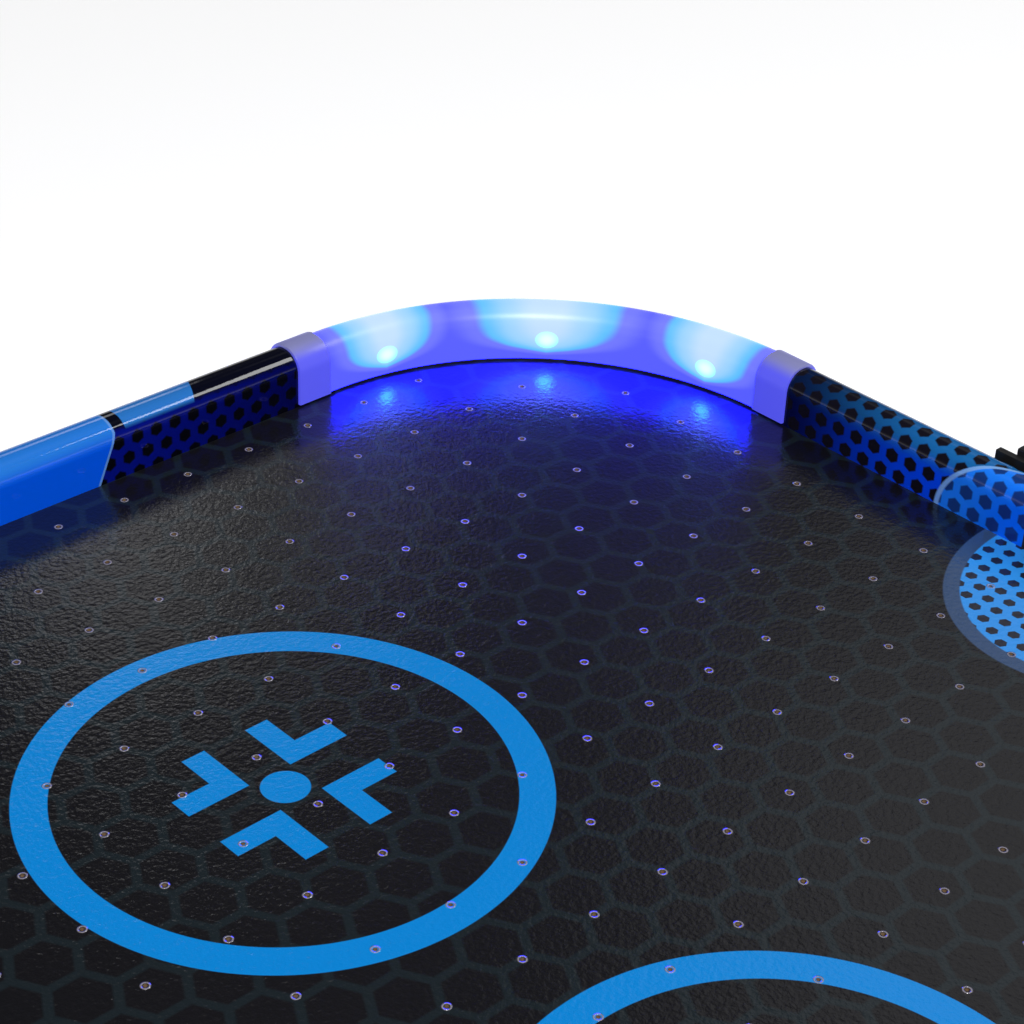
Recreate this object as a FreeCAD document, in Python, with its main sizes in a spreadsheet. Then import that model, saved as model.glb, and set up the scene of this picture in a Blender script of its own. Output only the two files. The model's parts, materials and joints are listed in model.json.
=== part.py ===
"""Tabletop air hockey table, 20 by 40 inches, with light-up corner pieces.

X runs along the table from goal to goal, Y across it, and Z up from the surface it stands on.
The origin is under the middle of the table. Every size comes from the sheet "dims", in millimetres.
"""

import FreeCAD, Part
import math
import os
from types import SimpleNamespace

import Sketcher
from FreeCAD import Placement, Rotation, Vector

# alias, value, what it is
DIMENSIONS = [
    ("play_length", 988, "between the end rails"),
    ("play_width", 480, "between the side rails"),
    ("surface_level", 94, "playing surface above the floor"),
    ("surface_thickness", 6, "playing panel"),
    ("rail_thickness", 14, "rail boards"),
    ("rail_rise", 18.8, "rail top above the playing surface"),
    ("rail_height", 74.8, "rail boards, from bottom to top"),
    ("rail_rounding", 6.5, "both top edges of a rail"),
    ("groove_depth", 5, "grooves that hold the two panels"),
    ("groove_play", 0.5, "left between a panel's edge and its groove"),
    ("corner_radius", 100, "inner wall of a corner"),
    ("floor_level", 62, "underside of the air chamber's floor panel"),
    ("floor_thickness", 3, "air chamber's floor panel"),
    ("air_hole_diameter", 1.2, "air holes"),
    ("air_pitch_long", 24.06, "air holes along the table"),
    ("air_pitch_cross", 25.4, "air holes across the table"),
    ("air_columns", 40, "columns of air holes"),
    ("air_rows", 19, "rows of air holes"),
    ("lens_gap", 1, "lens above the playing surface"),
    ("lens_wall", 2, "lens wall"),
    ("lens_proud", 0.3, "lens outside the rails' surface"),
    ("collar_proud", 1.2, "collar outside the rails' surface"),
    ("socket_play", 0.1, "between a rail and the collar around it"),
    ("side_collar_start", 15.7, "far end of the side collar, before the corner's arc"),
    ("side_collar_end", 2.2, "near end of the side collar, before the corner's arc"),
    ("end_collar_start", 11, "far end of the end collar, before the corner's arc"),
    ("end_collar_end", -2.5, "near end of the end collar, past the start of the corner's arc"),
    ("leg_wall", 3, "walls of a corner leg"),
    ("leg_depth", 30, "corner leg, from its inner to its outer face"),
    ("leg_level", 38, "bottom of the rails, where the foot of a leg begins"),
    ("tab_length", 30, "tabs of a leg along the rails"),
    ("pad_thickness", 3, "rubber pads"),
    ("pad_radius", 11, "rubber pads"),
    ("screw_radius", 2, "wood screw shanks"),
    ("screw_head_radius", 3.8, "wood screw heads"),
    ("screw_clearance", 0.15, "holes around screws"),
    ("goal_width", 61, "goal opening"),
    ("goal_rise", 12, "goal opening above the playing surface"),
    ("liner_wall", 2, "goal liner"),
    ("catcher_depth", 72, "puck catcher, out from the end rail"),
    ("catcher_width", 112, "puck catcher"),
    ("catcher_wall", 2.5, "puck catcher walls"),
    ("catcher_rim", 100, "puck catcher's rim above the floor"),
    ("catcher_bottom", 58, "puck catcher's underside above the floor"),
    ("score_inner", 2.5, "score bar, nearest face from the end rail"),
    ("score_depth", 13, "score bar, front to back"),
    ("score_length", 100, "score bar"),
    ("score_bottom", 107, "score bar's underside above the floor"),
    ("score_height", 8, "score bar"),
    ("slot_length", 88, "score bar's slot"),
    ("slot_width", 3, "score bar's slot at its top"),
    ("undercut_width", 6.4, "score bar's slot below its lips"),
    ("blower_radius", 64, "blower housing, outside"),
    ("blower_wall", 2.5, "blower housing walls"),
    ("blower_bottom", 15, "blower housing's underside above the floor"),
    ("blower_flange", 75, "blower flange radius"),
    ("blower_port", 56, "radius of the hole in the floor panel"),
    ("blower_screw_circle", 70, "radius of the blower's screw circle"),
    ("gasket_thickness", 1.5, "foam ring under the floor panel"),
    ("inlet_radius", 48, "blower's intake opening"),
    ("shaft_radius", 1.5, "motor shaft"),
    ("shaft_play", 0.05, "radial, in the motor's bearings"),
    ("motor_radius", 14, "motor can"),
    ("fan_radius", 57.5, "fan blades, tip"),
    ("fan_hub_radius", 18.5, "fan hub"),
    ("fan_blades", 7, "fan blades"),
    ("control_x", -200, "middle of the control panel along the front rail"),
    ("control_level", 50, "middle of the control panel above the floor"),
    ("control_recess", 4.5, "pocket for the control plate in the rail"),
    ("plate_length", 90, "control plate"),
    ("plate_height", 21, "control plate"),
    ("plate_thickness", 2.5, "control plate"),
    ("rocker_x", -24, "rocker switch on the control plate"),
    ("rocker_pin_radius", 1, "rocker's pivot pins"),
    ("rocker_tilt", 8, "rocker at rest, switched on"),
    ("button_x", 4, "light button on the control plate"),
    ("button_radius", 4, "light button"),
    ("button_play", 0.35, "radial, around the light button"),
    ("jack_x", 27, "power inlet on the control plate"),
    ("jack_bore_radius", 2.8, "power inlet bore"),
    ("jack_pin_radius", 1, "power inlet's centre pin"),
    ("lead_radius", 1.2, "inner leads"),
    ("lead_level", 58, "leads under the floor panel"),
    ("lead_lane", 204, "leads along the rails, from the middle"),
    ("lead_rise_radius", 108, "where a lead rises, from the corner's centre"),
    ("puck_radius", 22.5, "pucks"),
    ("puck_thickness", 4.8, "pucks"),
    ("puck_float", 0.3, "air under a puck"),
    ("pusher_radius", 33, "pushers"),
    ("pusher_height", 45, "pushers"),
    ("pusher_x", 400, "pushers from the middle of the table"),
    ("right_pusher_y", -110, "right pusher at rest"),
    ("felt_thickness", 1.5, "felt ring under a pusher"),
    ("felt_gap", 0.1, "felt above the playing surface"),
]

doc = FreeCAD.newDocument("AirHockeyTable")
sheet = doc.addObject("Spreadsheet::Sheet", "dims")


class Size:
    """A length, angle or count, with the sheet expression that gives it."""

    def __init__(self, value, text):
        self.value = float(value)
        self.text = text

    def __add__(self, other):
        other = size(other)
        return Size(self.value + other.value, f"({self.text} + {other.text})")

    def __radd__(self, other):
        return size(other) + self

    def __sub__(self, other):
        other = size(other)
        return Size(self.value - other.value, f"({self.text} - {other.text})")

    def __rsub__(self, other):
        return size(other) - self

    def __mul__(self, other):
        other = size(other)
        return Size(self.value * other.value, f"({self.text} * {other.text})")

    __rmul__ = __mul__

    def __truediv__(self, other):
        other = size(other)
        return Size(self.value / other.value, f"({self.text} / {other.text})")

    def __neg__(self):
        return Size(-self.value, f"(-1 * {self.text})")


def size(value):
    if isinstance(value, Size):
        return value
    return Size(value, f"({float(value)!r})")


def fill_sheet():
    for row, (alias, value, meaning) in enumerate(DIMENSIONS, start=1):
        sheet.set(f"A{row}", meaning)
        sheet.set(f"B{row}", str(value))
        sheet.setAlias(f"B{row}", alias)
    doc.recompute()
    return SimpleNamespace(**{alias: Size(sheet.get(alias), f"dims.{alias}") for alias, _, _ in DIMENSIONS})


D = fill_sheet()

# Levels and distances that several parts share
RAIL_TOP = D.surface_level + D.rail_rise
RAIL_BOTTOM = RAIL_TOP - D.rail_height
SURFACE_BOTTOM = D.surface_level - D.surface_thickness
FLOOR_TOP = D.floor_level + D.floor_thickness
LENS_BOTTOM = D.surface_level + D.lens_gap
CORNER_OUTSIDE = D.corner_radius + D.rail_thickness
CORNER_X = D.play_length / 2 - D.corner_radius
CORNER_Y = D.play_width / 2 - D.corner_radius
END_FACE = D.play_length / 2 + D.rail_thickness
SIDE_FACE = D.play_width / 2 + D.rail_thickness
PANEL_X = D.play_length / 2 + D.groove_depth - D.groove_play
PANEL_Y = D.play_width / 2 + D.groove_depth - D.groove_play
PANEL_CORNER = D.corner_radius + D.groove_depth - D.groove_play
SCREW_HOLE = D.screw_radius + D.screw_clearance
TAB_SCREWS = (10, 22)  # along a leg's tab, from the corner's arc
TAB_SCREW_LEVEL = 52
CORNERS = {  # name: (side of the table along X, along Y, quarter turns from the back right corner)
    "back_right": (1, 1, 0),
    "back_left": (-1, 1, 1),
    "front_left": (-1, -1, 2),
    "front_right": (1, -1, 3),
}
ENDS = {"right": 0, "left": 180}  # name: turn about Z
finished = []


# ---- helpers -------------------------------------------------------------------------------


def bind(item, **properties):
    """Binds each property, such as Length, to the sheet."""
    for name, value in properties.items():
        item.setExpression(name, size(value).text)


def place(item, x=0, y=0, z=0, turn=0):
    """Puts a sub-part at a place bound to the sheet, turned about Z by a number of degrees."""
    item.Placement = Placement(Vector(), Rotation(Vector(0, 0, 1), turn))
    for axis, value in zip("xyz", (x, y, z)):
        item.setExpression(f"Placement.Base.{axis}", size(value).text)


def finish(item, name):
    """Gives a sub-part its name and lists it for export."""
    item.Label = name
    finished.append(item)
    return item


def new_body(name):
    return doc.addObject("PartDesign::Body", name)


def sketch_on(body, role, offset=0):
    """A sketch on one of the body's own origin planes, moved along that plane's normal."""
    sketch = body.newObject("Sketcher::SketchObject", "Sketch")
    plane = next(f for f in body.Origin.OriginFeatures if f.Role == role)
    sketch.AttachmentSupport = [(plane, "")]
    sketch.MapMode = "FlatFace"
    sketch.setExpression("AttachmentOffset.Base.z", size(offset).text)
    return sketch


def pin_point(sketch, geometry, position, x, y):
    """Fixes a sketch point at distances from the sketch's origin."""
    for kind, value in (("DistanceX", size(x)), ("DistanceY", size(y))):
        index = sketch.addConstraint(Sketcher.Constraint(kind, -1, 1, geometry, position, value.value))
        sketch.setExpression(f"Constraints[{index}]", value.text)


def draw_polygon(sketch, points):
    first = sketch.GeometryCount
    corners = [Vector(size(x).value, size(y).value, 0) for x, y in points]
    count = len(corners)
    for i in range(count):
        sketch.addGeometry(Part.LineSegment(corners[i], corners[(i + 1) % count]))
    for i in range(count):
        sketch.addConstraint(Sketcher.Constraint("Coincident", first + i, 2, first + (i + 1) % count, 1))
    for i, (x, y) in enumerate(points):
        pin_point(sketch, first + i, 1, x, y)


def draw_rectangle(sketch, left, right, bottom, top):
    draw_polygon(sketch, [(left, bottom), (right, bottom), (right, top), (left, top)])


def draw_circle(sketch, x, y, radius):
    centre = Vector(size(x).value, size(y).value, 0)
    index = sketch.addGeometry(Part.Circle(centre, Vector(0, 0, 1), size(radius).value))
    pin_point(sketch, index, 3, x, y)
    limit = sketch.addConstraint(Sketcher.Constraint("Radius", index, size(radius).value))
    sketch.setExpression(f"Constraints[{limit}]", size(radius).text)


def draw_rail_section(sketch, left, right, bottom, top, radius):
    """An upright rectangle whose two top corners are rounded, as on a rail."""
    left, right, bottom, top, radius = (size(v) for v in (left, right, bottom, top, radius))
    points = [
        (left, bottom),
        (right, bottom),
        (right, top - radius),
        (right - radius, top),
        (left + radius, top),
        (left, top - radius),
    ]
    first = sketch.GeometryCount
    spots = [Vector(x.value, y.value, 0) for x, y in points]
    quarter = math.pi / 2
    for i in (0, 1, 2, 3, 4, 5):
        if i == 2:
            centre = Vector((right - radius).value, (top - radius).value, 0)
            arc = Part.ArcOfCircle(Part.Circle(centre, Vector(0, 0, 1), radius.value), 0, quarter)
            sketch.addGeometry(arc)
        elif i == 4:
            centre = Vector((left + radius).value, (top - radius).value, 0)
            arc = Part.ArcOfCircle(Part.Circle(centre, Vector(0, 0, 1), radius.value), quarter, 2 * quarter)
            sketch.addGeometry(arc)
        else:
            sketch.addGeometry(Part.LineSegment(spots[i], spots[(i + 1) % 6]))
    for i in range(6):
        sketch.addConstraint(Sketcher.Constraint("Coincident", first + i, 2, first + (i + 1) % 6, 1))
    for i, (x, y) in enumerate(points):
        pin_point(sketch, first + i, 1, x, y)
    for i in (2, 4):
        limit = sketch.addConstraint(Sketcher.Constraint("Radius", first + i, radius.value))
        sketch.setExpression(f"Constraints[{limit}]", radius.text)


def pad(body, sketch, length, reverse=False, midplane=False):
    feature = body.newObject("PartDesign::Pad", "Pad")
    feature.Profile = sketch
    feature.Reversed = reverse
    feature.Midplane = midplane
    bind(feature, Length=length)
    return feature


def pocket(body, sketch, length=None, reverse=False):
    """Cuts to a depth or, with no length, right through, and makes sure that it cuts something."""
    doc.recompute()
    before = body.Shape.Volume
    feature = body.newObject("PartDesign::Pocket", "Pocket")
    feature.Profile = sketch
    feature.Reversed = reverse
    if length is None:
        feature.Type = "ThroughAll"
        feature.Midplane = True
    else:
        bind(feature, Length=length)
    doc.recompute()
    if body.Shape.Volume > before - 1e-3:
        raise RuntimeError(f"a pocket of {body.Name} cuts nothing")
    return feature


def turned(body, kind, sketch, angle=360, reverse=False):
    """Revolves a sketch about the body's Z axis: kind is Revolution or Groove."""
    feature = body.newObject(f"PartDesign::{kind}", kind)
    feature.Profile = sketch
    axis = next(f for f in body.Origin.OriginFeatures if f.Role == "Z_Axis")
    feature.ReferenceAxis = (axis, [""])
    feature.Reversed = reverse
    bind(feature, Angle=angle)
    return feature


def polar(body, originals, count):
    feature = body.newObject("PartDesign::PolarPattern", "PolarPattern")
    feature.Originals = originals
    axis = next(f for f in body.Origin.OriginFeatures if f.Role == "Z_Axis")
    feature.Axis = (axis, [""])
    feature.Angle = 360
    bind(feature, Occurrences=count)
    body.Tip = feature
    return feature


def round_edges(body, radius, wanted, kind="Fillet"):
    """Rounds or chamfers the edges of the body that wanted() picks."""
    doc.recompute()
    base = body.Tip
    names = [f"Edge{i}" for i, edge in enumerate(body.Shape.Edges, start=1) if wanted(edge)]
    if not names:
        raise RuntimeError(f"no edge to round on {body.Name}")
    feature = body.newObject(f"PartDesign::{kind}", kind)
    feature.Base = (base, names)
    bind(feature, **{"Radius" if kind == "Fillet" else "Size": radius})
    doc.recompute()
    return feature


def hollow_out(body, wall, opening):
    """Hollows the body to a wall, open at the faces that opening() picks."""
    doc.recompute()
    names = [f"Face{i}" for i, face in enumerate(body.Shape.Faces, start=1) if opening(face)]
    before = body.Shape.Volume
    base = body.Tip
    feature = body.newObject("PartDesign::Thickness", "Thickness")
    feature.Base = (base, names)
    feature.Reversed = True
    bind(feature, Value=wall)
    doc.recompute()
    if not names or body.Shape.Volume > 0.7 * before:
        raise RuntimeError(f"{body.Name} isn't hollow")


def along(edge, axis, slack=1e-6):
    """True for a straight edge along an axis given as x, y or z."""
    if edge.Curve.TypeId != "Part::GeomLine":
        return False
    way = edge.Curve.Direction
    return abs(abs(getattr(way, axis)) - 1) < slack


def middle(edge):
    return edge.BoundBox.Center


def box(x0, x1, y0, y1, z0, z1):
    """A block between six planes, each bound to the sheet."""
    block = doc.addObject("Part::Box", "Box")
    bind(block, Length=size(x1) - x0, Width=size(y1) - y0, Height=size(z1) - z0)
    for axis, value in zip("xyz", (x0, y0, z0)):
        block.setExpression(f"Placement.Base.{axis}", size(value).text)
    return block


def cylinder(radius, z0, z1, x=0, y=0, start=0, span=360):
    """An upright cylinder or, with a smaller span, a sector of one that begins at an angle."""
    rod = doc.addObject("Part::Cylinder", "Cylinder")
    bind(rod, Radius=radius, Height=size(z1) - z0, Angle=span)
    rod.Placement = Placement(Vector(), Rotation(Vector(0, 0, 1), start))
    for axis, value in zip("xyz", (x, y, z0)):
        rod.setExpression(f"Placement.Base.{axis}", size(value).text)
    return rod


def rod_along(axis, radius, start, length, x=0, y=0, z=0):
    """A cylinder along X or Y that begins at start on that axis."""
    rod = doc.addObject("Part::Cylinder", "Rod")
    bind(rod, Radius=radius, Height=length)
    turn = Rotation(Vector(0, 1, 0), 90) if axis == "x" else Rotation(Vector(1, 0, 0), -90)
    rod.Placement = Placement(Vector(), turn)
    spot = {"x": x, "y": y, "z": z, axis: start}
    for name, value in spot.items():
        rod.setExpression(f"Placement.Base.{name}", size(value).text)
    return rod


def cut(base, *tools):
    result = doc.addObject("Part::Cut", "Cut")
    result.Base = base
    result.Tool = tools[0] if len(tools) == 1 else fuse(*tools)
    return result


def fuse(*items):
    result = doc.addObject("Part::MultiFuse", "Fusion")
    result.Shapes = list(items)
    return result


def ring(inner, outer, z0, z1, start=0, span=360):
    """A ring, or a stretch of one, between two radii about the Z axis."""
    return cut(cylinder(outer, z0, z1, start=start, span=span), cylinder(inner, z0, z1))


def shape_part(name, shapes):
    """A sub-part of separate solids worked out from the sheet's values."""
    item = doc.addObject("Part::Feature", name)
    item.Shape = shapes[0] if len(shapes) == 1 else Part.makeCompound(shapes)
    return finish(item, name)


def screw(spot, way, length=None, head=None):
    """A pan-head screw whose head rests at spot and whose shank goes along way."""
    shank_length = length or 12
    head_radius = head or D.screw_head_radius.value
    shank = Part.makeCylinder(D.screw_radius.value, shank_length, spot, way)
    cap = Part.makeCylinder(head_radius, 2.2, spot, way * -1)
    cap = cap.makeChamfer(0.7, [e for e in cap.Edges if e.Closed and middle(e).sub(spot).Length > 1])
    slot = Part.makeBox(head_radius * 1.2, 0.9, 1.1, Vector(-head_radius * 0.6, -0.45, 0))
    slot = slot.fuse(Part.makeBox(0.9, head_radius * 1.2, 1.1, Vector(-0.45, -head_radius * 0.6, 0)))
    slot.Placement = Placement(spot - way * 2.2, Rotation(Vector(0, 0, 1), way))
    return shank.fuse(cap).cut(slot).removeSplitter()


def corner_spot(name, radius, angle):
    """A point of the table plan at a radius and angle about a corner's centre."""
    x_side, y_side, quarter = CORNERS[name]
    turn = math.radians(angle + 90 * quarter)
    x = x_side * CORNER_X.value + radius * math.cos(turn)
    y = y_side * CORNER_Y.value + radius * math.sin(turn)
    return x, y


def place_corner(item, name):
    x_side, y_side, quarter = CORNERS[name]
    place(item, x_side * CORNER_X, y_side * CORNER_Y, turn=90 * quarter)


# ---- playing surface and the air chamber ----------------------------------------------------


def make_playfield():
    """The panel with several hundred air holes, drawn as one face and extruded."""
    half_x = PANEL_X.value
    half_y = PANEL_Y.value
    low = SURFACE_BOTTOM.value
    plate = Part.makeBox(2 * half_x, 2 * half_y, D.surface_thickness.value, Vector(-half_x, -half_y, low))
    plate = plate.makeFillet(PANEL_CORNER.value, [e for e in plate.Edges if along(e, "z")])
    outline = next(f for f in plate.Faces if f.normalAt(0, 0).z < -0.5).OuterWire
    wires = [outline]
    columns = int(D.air_columns.value)
    rows = int(D.air_rows.value)
    for column in range(columns):
        for row in range(rows):
            x = (column - (columns - 1) / 2) * D.air_pitch_long.value
            y = (row - (rows - 1) / 2) * D.air_pitch_cross.value
            past_x = abs(x) - CORNER_X.value
            past_y = abs(y) - CORNER_Y.value
            if past_x > 0 and past_y > 0 and math.hypot(past_x, past_y) > D.corner_radius.value - 6:
                continue
            spot = Vector(x, y, low)
            wires.append(Part.Wire([Part.makeCircle(D.air_hole_diameter.value / 2, spot)]))
    face = Part.makeFace(wires, "Part::FaceMakerCheese")
    shape_part("playfield", [face.extrude(Vector(0, 0, D.surface_thickness.value))])


def make_floor_panel():
    """Closes the air chamber from below; the blower feeds it through the round port."""
    body = new_body("floor_panel")
    outline = sketch_on(body, "XY_Plane", D.floor_level)
    draw_rectangle(outline, -PANEL_X, PANEL_X, -PANEL_Y, PANEL_Y)
    pad(body, outline, D.floor_thickness)
    round_edges(body, PANEL_CORNER, lambda e: along(e, "z"))
    holes = sketch_on(body, "XY_Plane", D.floor_level)
    draw_circle(holes, 0, 0, D.blower_port)
    draw_circle(holes, MOTOR_LEAD_HOLE[0], MOTOR_LEAD_HOLE[1], 3)
    for x, y in BLOWER_SCREWS:
        draw_circle(holes, x, y, SCREW_HOLE)
    pocket(body, holes)
    finish(body, "floor_panel")


def make_support_blocks():
    """Wooden blocks that hold the playing panel up between its air holes."""
    side = 18
    blocks = []
    for x in (-12, -5, 5, 12):
        for y in (-3.5, 3.5):
            corner = Vector(
                x * D.air_pitch_long.value - side / 2, y * D.air_pitch_cross.value - side / 2, FLOOR_TOP.value
            )
            blocks.append(Part.makeBox(side, side, (SURFACE_BOTTOM - FLOOR_TOP).value, corner))
    shape_part("support_blocks", blocks)


# ---- rails ----------------------------------------------------------------------------------


def rail_points(inner):
    """The lower part of a rail's section, with grooves for both panels in its inner face."""
    outer = inner + D.rail_thickness
    bottom_of_groove = inner + D.groove_depth
    return [
        (outer, RAIL_BOTTOM),
        (outer, RAIL_TOP),
        (inner, RAIL_TOP),
        (inner, D.surface_level),
        (bottom_of_groove, D.surface_level),
        (bottom_of_groove, SURFACE_BOTTOM),
        (inner, SURFACE_BOTTOM),
        (inner, FLOOR_TOP),
        (bottom_of_groove, FLOOR_TOP),
        (bottom_of_groove, D.floor_level),
        (inner, D.floor_level),
        (inner, RAIL_BOTTOM),
    ]


def make_side_rail(name, turn, with_controls):
    inner = D.play_width / 2
    body = new_body(name)
    section = sketch_on(body, "YZ_Plane")
    draw_polygon(section, rail_points(inner))
    pad(body, section, 2 * CORNER_X, midplane=True)
    round_edges(body, D.rail_rounding, lambda e: along(e, "x") and middle(e).z > RAIL_TOP.value - 0.01)
    rebate = sketch_on(body, "XZ_Plane", -SIDE_FACE - 1)
    reach = CORNER_X - D.side_collar_end
    for sign in (-1, 1):
        near, far = sorted((sign * reach, sign * (CORNER_X + 1)), key=lambda v: v.value)
        draw_rectangle(rebate, near, far, LENS_BOTTOM, RAIL_TOP + 1)
    pocket(body, rebate)
    pilots = sketch_on(body, "XZ_Plane", -inner)
    for sign in (-1, 1):
        for step in TAB_SCREWS:
            draw_circle(pilots, sign * (CORNER_X - step), TAB_SCREW_LEVEL, SCREW_HOLE)
    pocket(body, pilots, 11)
    if with_controls:
        recess = sketch_on(body, "XZ_Plane", -SIDE_FACE)
        half = D.plate_length / 2 + 0.3
        level = D.control_level
        rise = D.plate_height / 2 + 0.3
        draw_rectangle(recess, -D.control_x - half, -D.control_x + half, level - rise, level + rise)
        pocket(body, recess, D.control_recess, reverse=True)
        opening = sketch_on(body, "XZ_Plane", -SIDE_FACE)
        draw_rectangle(opening, -D.control_x - 38, -D.control_x + 38, level - 7, level + 7)
        pocket(body, opening)
    place(body, turn=turn)
    finish(body, name)


def make_end_rail(name, turn):
    inner = D.play_length / 2
    body = new_body(name)
    section = sketch_on(body, "XZ_Plane")
    draw_polygon(section, rail_points(inner))
    pad(body, section, 2 * CORNER_Y, midplane=True)
    round_edges(body, D.rail_rounding, lambda e: along(e, "y") and middle(e).z > RAIL_TOP.value - 0.01)
    goal = sketch_on(body, "YZ_Plane", inner)
    half = D.goal_width / 2 + D.liner_wall
    draw_rectangle(goal, -half, half, D.surface_level, D.surface_level + D.goal_rise + D.liner_wall)
    pocket(body, goal)
    pilots = sketch_on(body, "YZ_Plane", inner)
    for sign in (-1, 1):
        for step in TAB_SCREWS:
            draw_circle(pilots, sign * (CORNER_Y - step), TAB_SCREW_LEVEL, SCREW_HOLE)
    pocket(body, pilots, 11, reverse=True)
    holes = sketch_on(body, "YZ_Plane", END_FACE)
    for y, z in CATCHER_SCREWS:
        draw_circle(holes, y, z, SCREW_HOLE)
    pocket(body, holes, 8)
    place(body, turn=turn)
    finish(body, name)


# ---- corners --------------------------------------------------------------------------------


def make_lens(name, side_first):
    """Frosted corner moulding: a hollow quarter turn of rail whose two collars slip over the rail ends.

    It is drawn for the back right corner, where the arc's far end meets a side rail. side_first is
    False where it meets an end rail instead, so that the two collars change places.
    """
    body = new_body(f"corner_lens_{name}")
    outside = D.lens_proud
    inside = D.lens_wall - D.lens_proud
    collar = D.collar_proud
    play = D.socket_play
    side = (D.side_collar_start, D.side_collar_end)
    end = (D.end_collar_start, D.end_collar_end)
    far_leg, near_leg = (side, end) if side_first else (end, side)

    def section(role, margin, offset=0):
        """The rail's section grown by a margin, or shrunk where it is negative."""
        sketch = sketch_on(body, role, offset)
        left = D.corner_radius - margin
        right = CORNER_OUTSIDE + margin
        draw_rail_section(sketch, left, right, LENS_BOTTOM, RAIL_TOP + margin, D.rail_rounding + margin)
        return sketch

    turned(body, "Revolution", section("XZ_Plane", outside), 90)
    pad(body, section("YZ_Plane", outside), far_leg[0], reverse=True)
    pad(body, section("XZ_Plane", outside), near_leg[0])
    pad(body, section("YZ_Plane", size(collar), -far_leg[0]), far_leg[0] - far_leg[1])
    pad(body, section("XZ_Plane", size(collar), near_leg[0]), near_leg[0] - near_leg[1], reverse=True)
    doc.recompute()
    full = body.Shape.Volume
    turned(body, "Groove", section("XZ_Plane", -inside), 90)
    doc.recompute()
    if body.Shape.Volume > full - 1:
        raise RuntimeError("the lens isn't hollow")
    for role, leg, outward in (("YZ_Plane", far_leg, True), ("XZ_Plane", near_leg, False)):
        board_end = max(leg[1].value, 0)
        if board_end:
            pocket(body, section(role, -inside), leg[1], reverse=not outward)
        offset = (-leg[1] if outward else leg[1]) if board_end else 0
        depth = leg[0] - leg[1] if board_end else leg[0]
        pocket(body, section(role, play, offset), depth, reverse=not outward)
    place_corner(body, name)
    finish(body, f"corner_lens_{name}")


def make_leg(name):
    """Corner moulding that joins two rails, carries the panels' corners and ends in a foot."""
    outer = CORNER_OUTSIDE
    wall = outer - D.leg_wall
    inner = outer - D.leg_depth
    low = D.leg_level
    shelf = low + D.leg_wall
    tab_top = D.floor_level - 1
    tab = D.tab_length
    panel_room = D.corner_radius + 0.2
    pieces = [
        ring(wall, outer, low, LENS_BOTTOM, span=90),
        ring(panel_room, outer, D.surface_level, LENS_BOTTOM, span=90),
        ring(D.corner_radius - 4, outer, SURFACE_BOTTOM - D.leg_wall, SURFACE_BOTTOM, span=90),
        ring(inner, outer, low, shelf, span=90),
        ring(D.corner_radius + 2.2, D.corner_radius + 3.2, LENS_BOTTOM, LENS_BOTTOM + 2, start=5, span=80),
        box(-tab, 0, inner, D.corner_radius, low, shelf),
        box(-tab, 0, D.corner_radius - D.leg_wall, D.corner_radius, low, tab_top),
        box(inner, D.corner_radius, -tab, 0, low, shelf),
        box(D.corner_radius - D.leg_wall, D.corner_radius, -tab, 0, low, tab_top),
        ring(inner, outer, D.pad_thickness, D.pad_thickness + D.leg_wall, start=15, span=60),
        ring(wall, outer, D.pad_thickness, shelf, start=15, span=60),
        ring(inner, inner + D.leg_wall, D.pad_thickness, shelf, start=15, span=60),
    ]
    for angle, y0, y1 in ((15, 0, D.leg_wall), (75, -D.leg_wall, 0)):
        end = box(inner + 1, outer - 1, y0, y1, D.pad_thickness, shelf)
        end.Placement = Placement(Vector(), Rotation(Vector(0, 0, 1), angle))
        for axis, across in (("x", math.cos), ("y", math.sin)):
            lead = (inner + 1) * across(math.radians(angle))
            side_step = -math.sin(math.radians(angle)) if axis == "x" else math.cos(math.radians(angle))
            end.setExpression(f"Placement.Base.{axis}", (lead + size(y0) * side_step).text)
        pieces.append(end)
    half_way = D.lead_rise_radius * math.sqrt(0.5)
    holes = [cylinder(2, SURFACE_BOTTOM - 10, LENS_BOTTOM + 5, half_way, half_way)]
    for step in TAB_SCREWS:
        face = D.corner_radius - D.leg_wall - 1
        holes.append(rod_along("y", SCREW_HOLE, face, 5, x=-step, z=TAB_SCREW_LEVEL))
        holes.append(rod_along("x", SCREW_HOLE, face, 5, y=-step, z=TAB_SCREW_LEVEL))
    leg = cut(fuse(*pieces), *holes)
    leg.Refine = True
    place_corner(leg, name)
    finish(leg, f"corner_leg_{name}")


def make_led_strip(name):
    """Flexible circuit strip stuck inside the lens's outer wall."""
    outer = CORNER_OUTSIDE - D.lens_wall + D.lens_proud - 0.3
    strip = ring(outer - 1, outer, D.surface_level + 5.5, D.surface_level + 11.5, start=6, span=78)
    place_corner(strip, name)
    finish(strip, f"led_strip_{name}")


def make_leds():
    """Three surface-mount lamps on each strip, facing the playing surface."""
    body_size = 5
    height = 1.6
    outer = (CORNER_OUTSIDE - D.lens_wall + D.lens_proud - 1.3).value
    leds = []
    for name in CORNERS:
        for angle in LED_ANGLES:
            led = Part.makeBox(height, body_size, body_size, Vector(-height, -body_size / 2, -body_size / 2))
            led = led.cut(Part.makeCylinder(1.8, 0.5, Vector(-height, 0, 0), Vector(1, 0, 0)))
            x, y = corner_spot(name, outer - 0.05, angle)
            turn = angle + 90 * CORNERS[name][2]
            led.Placement = Placement(
                Vector(x, y, D.surface_level.value + LED_LEVEL), Rotation(Vector(0, 0, 1), turn)
            )
            leds.append(led)
    shape_part("leds", leds)


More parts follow.
